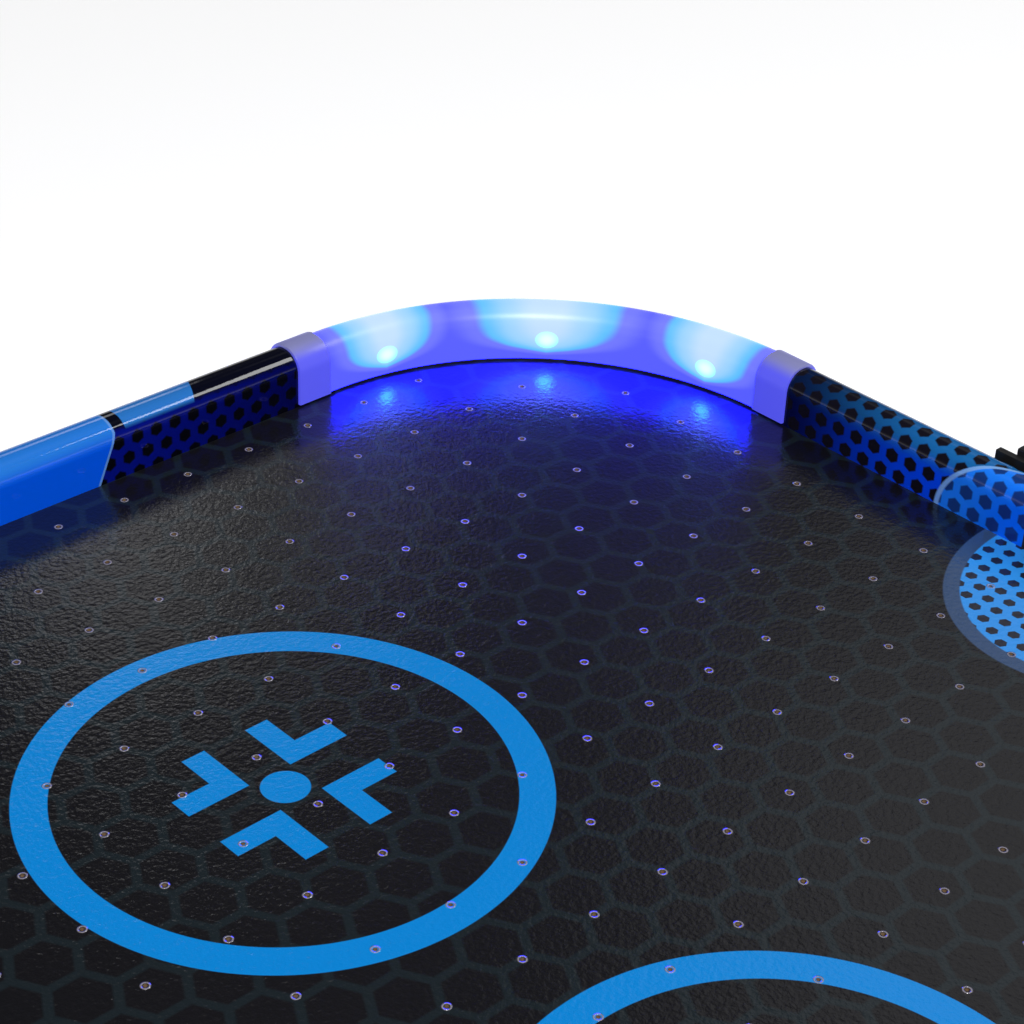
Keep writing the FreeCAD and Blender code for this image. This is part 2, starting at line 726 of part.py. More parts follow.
def make_foot_pads():
    pads = []
    radius = D.pad_radius.value
    for name in CORNERS:
        x, y = corner_spot(name, (CORNER_OUTSIDE - D.leg_depth / 2).value, 45)
        pad_shape = Part.makeCylinder(radius, D.pad_thickness.value, Vector(x, y, 0))
        pads.append(pad_shape.makeFillet(0.8, [e for e in pad_shape.Edges if e.Closed and middle(e).z < 1]))
    shape_part("foot_pads", pads)


def make_rail_screws():
    """Wood screws that hold the leg tabs to the rails."""
    screws = []
    head = (D.corner_radius - D.leg_wall).value
    for name in CORNERS:
        quarter = CORNERS[name][2]
        turn = Placement(Vector(), Rotation(Vector(0, 0, 1), 90 * quarter))
        x_side, y_side, _ = CORNERS[name]
        centre = Vector(x_side * CORNER_X.value, y_side * CORNER_Y.value, 0)
        for step in TAB_SCREWS:
            for spot, way in (
                (Vector(-step, head, TAB_SCREW_LEVEL), Vector(0, 1, 0)),
                (Vector(head, -step, TAB_SCREW_LEVEL), Vector(1, 0, 0)),
            ):
                screws.append(screw(centre + turn.multVec(spot), turn.multVec(way)))
    shape_part("rail_screws", screws)


# ---- goals ----------------------------------------------------------------------------------


def make_goal_liner(name, turn):
    """Three-sided lining of the goal slot in an end rail."""
    body = new_body(f"goal_liner_{name}")
    section = sketch_on(body, "YZ_Plane", D.play_length / 2)
    inner = D.goal_width / 2
    outer = inner + D.liner_wall
    roof = D.surface_level + D.goal_rise
    points = [
        (-outer, D.surface_level),
        (-inner, D.surface_level),
        (-inner, roof),
        (inner, roof),
        (inner, D.surface_level),
        (outer, D.surface_level),
        (outer, roof + D.liner_wall),
        (-outer, roof + D.liner_wall),
    ]
    draw_polygon(section, points)
    pad(body, section, D.rail_thickness)
    place(body, turn=turn)
    finish(body, f"goal_liner_{name}")


def make_catcher(name, turn):
    """Tray outside an end rail that a puck falls into; its back plate is screwed to the rail."""
    body = new_body(f"puck_catcher_{name}")
    half = D.catcher_width / 2
    wall = D.catcher_wall
    tray = sketch_on(body, "XY_Plane", D.catcher_bottom)
    draw_rectangle(tray, 0, D.catcher_depth, -half, half)
    pad(body, tray, D.catcher_rim - D.catcher_bottom)
    round_edges(body, 14, lambda e: along(e, "z") and middle(e).x > 1)
    hollow_out(body, wall, lambda face: face.CenterOfMass.z > D.catcher_rim.value - 0.01)
    plate = sketch_on(body, "YZ_Plane")
    draw_rectangle(plate, -half, half, D.catcher_bottom, RAIL_TOP)
    pad(body, plate, wall)
    slot = sketch_on(body, "YZ_Plane")
    goal = D.goal_width / 2
    draw_rectangle(slot, -goal, goal, D.surface_level, D.surface_level + D.goal_rise)
    for y, z in CATCHER_SCREWS:
        draw_circle(slot, y, z, SCREW_HOLE)
    pocket(body, slot, wall, reverse=True)
    turned_x = END_FACE if turn == 0 else -END_FACE
    place(body, turned_x, turn=turn)
    finish(body, f"puck_catcher_{name}")


def make_score_bar(name, turn):
    """Bar with a T-slot above the goal, in which the score slider runs."""
    body = new_body(f"score_bar_{name}")
    inner = D.score_inner
    outer = inner + D.score_depth
    centre = inner + D.score_depth / 2
    half = D.score_length / 2
    reach = D.slot_length / 2
    top = D.score_bottom + D.score_height
    outline = sketch_on(body, "XY_Plane", D.score_bottom)
    draw_rectangle(outline, inner, outer, -half, half)
    pad(body, outline, D.score_height)
    round_edges(body, 2, lambda e: along(e, "z") and middle(e).x > outer.value - 1)
    lips = sketch_on(body, "XY_Plane", top)
    draw_rectangle(lips, centre - D.slot_width / 2, centre + D.slot_width / 2, -reach, reach)
    pocket(body, lips, 5)
    undercut = sketch_on(body, "XY_Plane", top - 2.4)
    draw_rectangle(undercut, centre - D.undercut_width / 2, centre + D.undercut_width / 2, -reach, reach)
    pocket(body, undercut, 2.6)
    place(body, END_FACE if turn == 0 else -END_FACE, turn=turn)
    finish(body, f"score_bar_{name}")


def make_score_slider(name, turn):
    """Small tab that a player moves along the score bar, standing at zero."""
    centre = D.score_inner + D.score_depth / 2
    top = D.score_bottom + D.score_height
    home = -D.slot_length / 2 + 6
    body = new_body(f"score_slider_{name}")
    foot = sketch_on(body, "XY_Plane", top - 4.7)
    draw_rectangle(foot, centre - 2.85, centre + 2.85, home - 3.5, home + 3.5)
    pad(body, foot, 2)
    neck = sketch_on(body, "XY_Plane", top - 4.7)
    draw_rectangle(neck, centre - 1.15, centre + 1.15, home - 3.5, home + 3.5)
    pad(body, neck, 5.4)
    knob = sketch_on(body, "XY_Plane", top + 0.35)
    draw_rectangle(knob, centre - 4.5, centre + 4.5, home - 4, home + 4)
    pad(body, knob, 4.5)
    round_edges(body, 1.2, lambda e: middle(e).z > top.value + 4.8)
    place(body, END_FACE if turn == 0 else -END_FACE, turn=turn)
    finish(body, f"score_slider_{name}")


def make_catcher_screws():
    screws = []
    for sign in (-1, 1):
        for y, z in CATCHER_SCREWS:
            spot = Vector(sign * (END_FACE.value + D.catcher_wall.value), y, z)
            screws.append(screw(spot, Vector(-sign, 0, 0), length=9))
    shape_part("catcher_screws", screws)


# ---- blower ---------------------------------------------------------------------------------


def make_blower_gasket():
    gasket = ring(D.blower_port + 1, D.blower_flange - 1, D.floor_level - D.gasket_thickness, D.floor_level)
    holes = [cylinder(SCREW_HOLE, D.floor_level - 5, D.floor_level + 5, x, y) for x, y in BLOWER_SCREWS]
    finish(cut(gasket, *holes), "blower_gasket")


def make_blower_housing():
    """Round housing under the floor panel; air comes in at the bottom and leaves at the top."""
    body = new_body("blower_housing")
    outer = D.blower_radius
    inner = outer - D.blower_wall
    low = D.blower_bottom
    flange_top = D.floor_level - D.gasket_thickness
    flange_low = flange_top - D.leg_wall
    floor = low + D.leg_wall
    points = [
        (D.inlet_radius, low),
        (outer, low),
        (outer, flange_low),
        (D.blower_flange, flange_low),
        (D.blower_flange, flange_top),
        (inner, flange_top),
        (inner, floor),
        (D.inlet_radius, floor),
    ]
    section = sketch_on(body, "XZ_Plane")
    draw_polygon(section, points)
    turned(body, "Revolution", section)
    round_edges(body, 2, lambda e: e.Closed and middle(e).z < low.value + 0.01 and e.BoundBox.XMax > 60)
    holes = sketch_on(body, "XY_Plane", flange_low)
    for x, y in BLOWER_SCREWS:
        draw_circle(holes, x, y, SCREW_HOLE)
    pocket(body, holes, D.leg_wall, reverse=True)
    finish(body, "blower_housing")


def make_intake_grille():
    """Round guard over the blower's intake."""
    body = new_body("intake_grille")
    low = D.blower_bottom - 3
    outer = D.inlet_radius + 6
    rings = sketch_on(body, "XY_Plane", low)
    for radius in (outer, outer - 7, 37, 34.5, 27, 24.5, 17, 14.5):
        draw_circle(rings, 0, 0, radius)
    pad(body, rings, 3)
    hub = sketch_on(body, "XY_Plane", low)
    draw_circle(hub, 0, 0, 8)
    pad(body, hub, 3)
    spoke = sketch_on(body, "XY_Plane", low)
    draw_rectangle(spoke, 6, outer - 2, -1.4, 1.4)
    arm = pad(body, spoke, 3)
    polar(body, [arm], 8)
    finish(body, "intake_grille")


def make_motor_bracket():
    """Cross of arms inside the housing's mouth that the motor hangs from."""
    body = new_body("motor_bracket")
    top = D.floor_level - D.gasket_thickness - D.leg_wall
    low = top - D.leg_wall
    inner = D.blower_radius - D.blower_wall - 0.1
    rim = sketch_on(body, "XY_Plane", low)
    draw_circle(rim, 0, 0, inner)
    draw_circle(rim, 0, 0, inner - 4)
    pad(body, rim, D.leg_wall)
    hub = sketch_on(body, "XY_Plane", low)
    draw_circle(hub, 0, 0, 18)
    draw_circle(hub, 0, 0, 10)
    pad(body, hub, D.leg_wall)
    arm_sketch = sketch_on(body, "XY_Plane", low)
    draw_rectangle(arm_sketch, 17, inner - 2, -4, 4)
    arm = pad(body, arm_sketch, D.leg_wall)
    polar(body, [arm], 4)
    finish(body, "motor_bracket")


MOTOR_LOW = 30
SHAFT_LOW = 22.5
SHAFT_TOP = 50


def make_motor():
    top = D.floor_level - D.gasket_thickness - 2 * D.leg_wall
    can = cylinder(D.motor_radius, MOTOR_LOW, top)
    nose = cylinder(5, MOTOR_LOW - 2, MOTOR_LOW)
    bore = cylinder(D.shaft_radius + D.shaft_play, MOTOR_LOW - 3, SHAFT_TOP + 1)
    motor = cut(fuse(can, nose), bore)
    motor.Refine = True
    finish(motor, "blower_motor")


def make_motor_shaft():
    finish(cylinder(D.shaft_radius, SHAFT_LOW, SHAFT_TOP), "motor_shaft")


def make_fan():
    """Axial fan whose hub is a cup around the motor."""
    body = new_body("fan")
    low = 22
    top = 46
    hub = sketch_on(body, "XZ_Plane")
    bore = D.shaft_radius
    outer = D.fan_hub_radius
    draw_polygon(
        hub,
        [
            (bore, low + 0.5),
            (bore + 2, low),
            (outer, low),
            (outer, top),
            (outer - 2.5, top),
            (outer - 2.5, low + 4),
            (bore, low + 4),
        ],
    )
    turned(body, "Revolution", hub)
    root = sketch_on(body, "YZ_Plane", outer - 1.7)
    draw_polygon(root, [(-6.5, 27), (-4.7, 26), (7, 43), (5.2, 44)])
    tip = sketch_on(body, "YZ_Plane", D.fan_radius - 1)
    draw_polygon(tip, [(-15, 29), (-14, 27.3), (15, 40), (14, 41.7)])
    blade = body.newObject("PartDesign::AdditiveLoft", "Blade")
    blade.Profile = root
    blade.Sections = [tip]
    blade.Ruled = True
    doc.recompute()
    polar(body, [blade], D.fan_blades)
    finish(body, "fan")


def make_blower_screws():
    flange_low = (D.floor_level - D.gasket_thickness - D.leg_wall).value
    screws = [screw(Vector(x, y, flange_low), Vector(0, 0, 1), length=7) for x, y in BLOWER_SCREWS]
    shape_part("blower_screws", screws)


# ---- controls -------------------------------------------------------------------------------
# Drawn about the middle of the control panel: X along the rail, Y from the rail's outer face inwards.


def place_controls(item, x=0):
    place(item, D.control_x + x, -SIDE_FACE, D.control_level)


def make_control_plate():
    body = new_body("control_plate")
    back = D.control_recess
    outline = sketch_on(body, "XZ_Plane", -back)
    half = D.plate_length / 2
    rise = D.plate_height / 2
    draw_rectangle(outline, -half, half, -rise, rise)
    pad(body, outline, D.plate_thickness)
    round_edges(body, 2.5, lambda e: along(e, "y"))
    holes = sketch_on(body, "XZ_Plane", -back)
    draw_rectangle(holes, D.rocker_x - 9.6, D.rocker_x + 9.6, -6.45, 6.45)
    draw_circle(holes, D.button_x, 0, D.button_radius + D.button_play)
    draw_circle(holes, D.jack_x, 0, 4.5)
    pocket(body, holes)
    place_controls(body)
    finish(body, "control_plate")


ROCKER_PIVOT = 5.6  # inwards from the rail's outer face


def make_switch_housing():
    body = new_body("switch_housing")
    front = D.control_recess - D.plate_thickness
    block = sketch_on(body, "XZ_Plane", -front)
    draw_rectangle(block, -9.5, 9.5, -6.35, 6.35)
    pad(body, block, 18, reverse=True)
    bezel = sketch_on(body, "XZ_Plane", -front)
    draw_rectangle(bezel, -11, 11, -7.6, 7.6)
    pad(body, bezel, 1.2)
    well = sketch_on(body, "XZ_Plane", -front + 1.2)
    draw_rectangle(well, -8.5, 8.5, -5.3, 5.3)
    pocket(body, well, 10.5)
    sockets = sketch_on(body, "XY_Plane", -6)
    draw_circle(sockets, 0, ROCKER_PIVOT, D.rocker_pin_radius + D.shaft_play)
    pocket(body, sockets, 12, reverse=True)
    place_controls(body, D.rocker_x)
    finish(body, "switch_housing")


def make_rocker():
    """See-saw key on two pins, drawn about its pivot and tilted to the on position."""
    body = new_body("power_rocker")
    side = sketch_on(body, "XY_Plane", -5)
    draw_polygon(side, [(-7.6, -4.4), (0, -3.2), (7.6, -4.4), (7.6, -1), (3, 2.6), (-3, 2.6), (-7.6, -1)])
    pad(body, side, 10)
    round_edges(body, 0.5, lambda e: along(e, "z") and middle(e).y < -0.5 and abs(middle(e).x) > 5)
    pins = sketch_on(body, "XY_Plane", -5.9)
    draw_circle(pins, 0, 0, D.rocker_pin_radius)
    pad(body, pins, 11.8)
    place(body, D.control_x + D.rocker_x, -SIDE_FACE + ROCKER_PIVOT, D.control_level, D.rocker_tilt.value)
    finish(body, "power_rocker")


def make_light_button():
    body = new_body("light_button")
    back = D.control_recess
    cap = sketch_on(body, "XZ_Plane", -back)
    draw_circle(cap, 0, 0, D.button_radius)
    pad(body, cap, back - 0.4)
    flange = sketch_on(body, "XZ_Plane", -back - 0.2)
    draw_circle(flange, 0, 0, D.button_radius + 1.3)
    pad(body, flange, 1.2, reverse=True)
    joint = sketch_on(body, "XZ_Plane", -back - 0.3)
    draw_circle(joint, 0, 0, D.button_radius)
    pad(body, joint, 0.5)
    stem = sketch_on(body, "XZ_Plane", -back - 1)
    draw_circle(stem, 0, 0, 2)
    pad(body, stem, 3.3, reverse=True)
    round_edges(body, 0.6, lambda e: e.Closed and middle(e).y < 0.5)
    place_controls(body, D.button_x)
    finish(body, "light_button")


def make_power_inlet():
    """Round low-voltage socket: a bored nose with a pin in the middle."""
    plate_back = D.control_recess
    nose_front = 1.6
    block = box(-5, 5, plate_back + 0.3, 14.4, -5.5, 5.5)
    nose = rod_along("y", 4.2, nose_front, 5)
    bore = rod_along("y", D.jack_bore_radius, nose_front - 1, 11)
    pin = rod_along("y", D.jack_pin_radius, nose_front + 1, 10)
    inlet = fuse(cut(fuse(block, nose), bore), pin)
    inlet.Refine = True
    place_controls(inlet, D.jack_x)
    finish(inlet, "power_inlet")


BOARD_FRONT = 14.5


def make_control_board():
    """Circuit board behind the rail, with the button's switch and the driver chips."""
    back = BOARD_FRONT + 1.6
    board = box(-12, 37, BOARD_FRONT, back, -8, 8)
    switch_body = box(D.button_x - 3, D.button_x + 3, D.control_recess + 5.6, BOARD_FRONT, -3, 3)
    driver = box(-8, 0, back, back + 1.6, -4, 4)
    memory = box(6, 12, back, back + 1.4, -3, 3)
    capacitor = rod_along("y", 3.2, back, 8, x=22)
    connector = box(29, 35, back, back + 6, -5, 5)
    board = fuse(board, switch_body, driver, memory, capacitor, connector)
    board.Refine = True
    place_controls(board)
    finish(board, "control_board")


COVER_BACK = 40


def make_control_cover():
    """Box behind the rail that closes the electronics; the leads leave through its back."""
    body = new_body("control_cover")
    level = D.leg_wall
    outer = sketch_on(body, "XZ_Plane", -D.rail_thickness)
    draw_rectangle(outer, -44, 44, -9, 11)
    pad(body, outer, COVER_BACK - D.rail_thickness, reverse=True)
    round_edges(body, level, lambda e: along(e, "z") and middle(e).y > COVER_BACK - 1)
    hollow = sketch_on(body, "XZ_Plane", -D.rail_thickness)
    draw_rectangle(hollow, -42.4, 42.4, -8.4, 9.4)
    pocket(body, hollow, COVER_BACK - D.rail_thickness - 1.6)
    exits = sketch_on(body, "XZ_Plane", -size(COVER_BACK))
    for x, _ in LEAD_STARTS.values():
        draw_circle(exits, x - D.control_x.value, D.lead_level - D.control_level, D.lead_radius + 0.3)
    pocket(body, exits, 3, reverse=True)
    place_controls(body)
    finish(body, "control_cover")


# ---- leads ----------------------------------------------------------------------------------

LEAD_STARTS = {  # name: (X where the lead leaves the control cover, side of the table it goes to)
    "front_left": (-220, -1),
    "back_left": (-212, -1),
    "back_right": (-204, 1),
    "motor": (-196, 1),
    "front_right": (-188, 1),
}
MOTOR_LEAD_HOLE = (-88, -40)


def tube_along(points, radius, bend):
    """A round tube along straight runs joined by tangent arcs, and its expected volume."""
    edges = []
    length = 0
    here = points[0]
    for i in range(1, len(points)):
        if i == len(points) - 1:
            edges.append(Part.LineSegment(here, points[i]).toShape())
            length += here.distanceToPoint(points[i])
            break
        corner = points[i]
        before = (points[i - 1] - corner).normalize()
        after = (points[i + 1] - corner).normalize()
        turn = math.pi - before.getAngle(after)
        room = bend * math.tan(turn / 2)
        start = corner + before * room
        end = corner + after * room
        inward = (before + after).normalize()
        top = corner + inward * (bend / math.cos(turn / 2) - bend)
        edges.append(Part.LineSegment(here, start).toShape())
        edges.append(Part.Arc(start, top, end).toShape())
        length += here.distanceToPoint(start) + bend * turn
        here = end
    path = Part.Wire(edges)
    circle = Part.makeCircle(radius, points[0], (points[1] - points[0]).normalize())
    tube = path.makePipeShell([Part.Wire([circle])], True, False, 2)
    expected = math.pi * radius**2 * length
    if abs(tube.Volume - expected) > 0.01 * expected:
        raise RuntimeError("a lead has the wrong volume")
    return tube


def lead_route(name):
    """Points of one lead, from the control cover to its corner lamp strip or the motor."""
    start, side = LEAD_STARTS[name]
    level = D.lead_level.value
    begin = Vector(start, -SIDE_FACE.value + COVER_BACK + 0.2, level)
    if name == "motor":
        hole_x, hole_y = MOTOR_LEAD_HOLE
        motor_top = (D.floor_level - D.gasket_thickness - 2 * D.leg_wall).value + 0.2
        return [
            begin,
            Vector(start, hole_y - 60, level),
            Vector(hole_x, hole_y - 60, level),
            Vector(hole_x, hole_y, level),
            Vector(hole_x, hole_y, level + 18),
            Vector(0, 0, level + 18),
            Vector(0, 0, motor_top),
        ]
    lane = D.lead_lane.value * CORNERS[name][1]
    rise_x, rise_y = corner_spot(name, D.lead_rise_radius.value, 45)
    top = LENS_BOTTOM.value + 2.6
    return [
        begin,
        Vector(start, lane, level),
        Vector(rise_x - side * 16, lane, level),
        Vector(rise_x, rise_y, level),
        Vector(rise_x, rise_y, top),
    ]


def make_leads():
    lamp_leads = [tube_along(lead_route(name), D.lead_radius.value, 5) for name in CORNERS]
    shape_part("lamp_leads", lamp_leads)
    shape_part("motor_lead", [tube_along(lead_route("motor"), D.lead_radius.value, 5)])


def make_lead_clips():
    """Stuck-on clips that hold the lamp leads up against the floor panel."""
    clips = []
    level = D.lead_level.value
    spots = []
    for name in CORNERS:
        x_side, y_side, _ = CORNERS[name]
        lane = D.lead_lane.value * y_side
        spots += [(x_side * distance, lane, "x") for distance in (270, 400)]
    spots += [(LEAD_STARTS["back_left"][0], 0, "y"), (LEAD_STARTS["back_right"][0], 100, "y")]
    for x, y, way in spots:
        height = D.floor_level.value - level + 2.5
        clip = Part.makeBox(8, 9, height, Vector(-4, -4.5, level - 2.5))
        room = D.lead_radius.value + 0.2
        channel = Part.makeCylinder(room, 10, Vector(-5, 0, level), Vector(1, 0, 0))
        clip = clip.cut(channel).cut(Part.makeBox(10, 1.6, 3, Vector(-5, -0.8, level - 3)))
        turn = 0 if way == "x" else 90
        clip.Placement = Placement(Vector(x, y, 0), Rotation(Vector(0, 0, 1), turn))
        clips.append(clip)
    shape_part("lead_clips", clips)


# ---- playing pieces -------------------------------------------------------------------------


def make_pusher(name, x, y):
    """Hollow mallet with a knob, and the felt ring under it."""
    base = D.surface_level + D.felt_gap
    low = D.felt_thickness
    rim = D.pusher_radius
    top = D.pusher_height
    body = new_body(f"pusher_{name}")
    section = sketch_on(body, "XZ_Plane")
    points = [
        (0, top),
        (0, top - 3),
        (8, top - 3.5),
        (6.5, 20),
        (12, 10.5),
        (rim - 4, 8.5),
        (rim - 3, low),
        (rim, low),
        (rim, 9),
        (rim - 2.5, 11.5),
        (15, 13.5),
        (10, 20),
        (9.5, top - 15),
        (13, top - 9),
        (13, top - 4),
        (8, top - 0.5),
    ]
    draw_polygon(section, points)
    turned(body, "Revolution", section)
    place(body, x, y, base)
    finish(body, f"pusher_{name}")
    felt = ring(rim - 9, rim - 0.4, 0, low)
    place(felt, x, y, base)
    finish(felt, f"pusher_felt_{name}")


def make_puck(name, x, y, z):
    body = new_body(f"puck_{name}")
    outline = sketch_on(body, "XY_Plane")
    draw_circle(outline, 0, 0, D.puck_radius)
    pad(body, outline, D.puck_thickness)
    round_edges(body, 0.8, lambda e: e.Closed)
    dish = sketch_on(body, "XY_Plane", D.puck_thickness)
    draw_circle(dish, 0, 0, D.puck_radius - 8)
    pocket(body, dish, 0.8)
    place(body, x, y, z)
    finish(body, f"puck_{name}")


# ---- whole table ----------------------------------------------------------------------------

LED_ANGLES = (13, 45.5, 78)
LED_LEVEL = 8.5
CATCHER_SCREWS = [(y, z) for y in (-48, 48) for z in (70, 101)]
BLOWER_SCREWS = [
    (
        D.blower_screw_circle.value * math.cos(math.radians(angle)),
        D.blower_screw_circle.value * math.sin(math.radians(angle)),
    )
    for angle in (45, 135, 225, 315)
]


def check(item):
    """Stops the script if a feature failed or a sub-part isn't a sound solid."""
    if not item.Shape.isValid() or item.Shape.isNull() or not item.Shape.Solids:
        raise RuntimeError(f"{item.Label} isn't a sound solid")
    for solid in item.Shape.Solids:
        if not solid.isClosed() or solid.Volume <= 0:
            raise RuntimeError(f"{item.Label} holds an open solid")


def main():
    make_playfield()
    make_floor_panel()
    make_support_blocks()
    make_side_rail("side_rail_back", 0, False)
    make_side_rail("side_rail_front", 180, True)
    for name, turn in ENDS.items():
        make_end_rail(f"end_rail_{name}", turn)
        make_goal_liner(name, turn)
        make_catcher(name, turn)
        make_score_bar(name, turn)
        make_score_slider(name, turn)
    make_catcher_screws()
    for name in CORNERS:
        make_lens(name, CORNERS[name][2] % 2 == 0)
        make_leg(name)
        make_led_strip(name)
    make_leds()
    make_foot_pads()
    make_rail_screws()
    make_blower_gasket()
    make_blower_housing()
    make_intake_grille()
    make_motor_bracket()
    make_motor()
    make_motor_shaft()
    make_fan()
    make_blower_screws()
    make_control_plate()
    make_switch_housing()
    make_rocker()
    make_light_button()
    make_power_inlet()
    make_control_board()
    make_control_cover()
    make_leads()
    make_lead_clips()
    make_pusher("left", -D.pusher_x, 0)
    make_pusher("right", D.pusher_x, D.right_pusher_y)
    make_puck("in_play", 0, 0, D.surface_level + D.puck_float)
    tray_floor = D.catcher_bottom + D.catcher_wall
    make_puck("spare", -END_FACE - 42.5, 0, tray_floor + D.puck_float)
    doc.recompute()
    for item in doc.Objects:
        if "Invalid" in item.State or "Error" in item.State:
            raise RuntimeError(f"{item.Name} failed to compute: {item.State}")
    os.makedirs("parts", exist_ok=True)
    for item in finished:
        check(item)
        item.Shape.exportStep(f"parts/{item.Label}.step")
        print(item.Label, len(item.Shape.Solids), round(item.Shape.Volume), "mm3")
    print(len(finished), "sub-parts")


main()
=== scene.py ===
import json
import math

import bmesh
import bpy
from mathutils import Matrix, Vector


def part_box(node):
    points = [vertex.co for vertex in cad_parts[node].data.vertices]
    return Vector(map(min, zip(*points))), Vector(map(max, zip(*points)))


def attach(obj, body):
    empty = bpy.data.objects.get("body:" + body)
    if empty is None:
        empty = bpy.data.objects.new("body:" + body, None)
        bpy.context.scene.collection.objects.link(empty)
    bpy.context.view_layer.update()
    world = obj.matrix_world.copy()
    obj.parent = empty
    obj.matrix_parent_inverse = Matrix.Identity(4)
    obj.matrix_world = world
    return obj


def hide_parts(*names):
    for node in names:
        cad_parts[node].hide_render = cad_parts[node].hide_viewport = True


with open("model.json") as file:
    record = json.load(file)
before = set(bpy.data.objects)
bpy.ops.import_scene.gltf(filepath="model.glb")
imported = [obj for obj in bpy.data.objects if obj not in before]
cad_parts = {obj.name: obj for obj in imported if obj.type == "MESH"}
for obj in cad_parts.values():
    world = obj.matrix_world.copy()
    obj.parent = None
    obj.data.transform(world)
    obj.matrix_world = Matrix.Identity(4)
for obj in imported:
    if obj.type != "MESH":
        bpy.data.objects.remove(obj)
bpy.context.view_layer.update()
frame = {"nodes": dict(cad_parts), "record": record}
MM = 0.001

# Places taken from the frame, in millimetres
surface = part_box("playfield")[1].z / MM
rail_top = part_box("side_rail_back")[1].z / MM
side_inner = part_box("side_rail_back")[0].y / MM
end_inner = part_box("end_rail_right")[0].x / MM
corner_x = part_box("side_rail_back")[1].x / MM
corner_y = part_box("end_rail_right")[1].y / MM
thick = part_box("side_rail_back")[1].y / MM - side_inner
inner_radius = end_inner - corner_x
CORNERS = {
    "back_right": (1, 1, 0), "back_left": (-1, 1, 1),
    "front_left": (-1, -1, 2), "front_right": (1, -1, 3),
}
LED_ANGLES = (13, 45.5, 78)


# ---- node graphs ----------------------------------------------------------------------------


class Num:
    """A value in a material's graph that is combined like a number."""

    def __init__(self, paint, socket):
        self.paint = paint
        self.socket = socket

    def __add__(self, other):
        return self.paint.math("ADD", self, other)

    __radd__ = __add__

    def __sub__(self, other):
        return self.paint.math("SUBTRACT", self, other)

    def __rsub__(self, other):
        return self.paint.math("SUBTRACT", other, self)

    def __mul__(self, other):
        return self.paint.math("MULTIPLY", self, other)

    __rmul__ = __mul__

    def __truediv__(self, other):
        return self.paint.math("DIVIDE", self, other)

    def __abs__(self):
        return self.paint.math("ABSOLUTE", self)


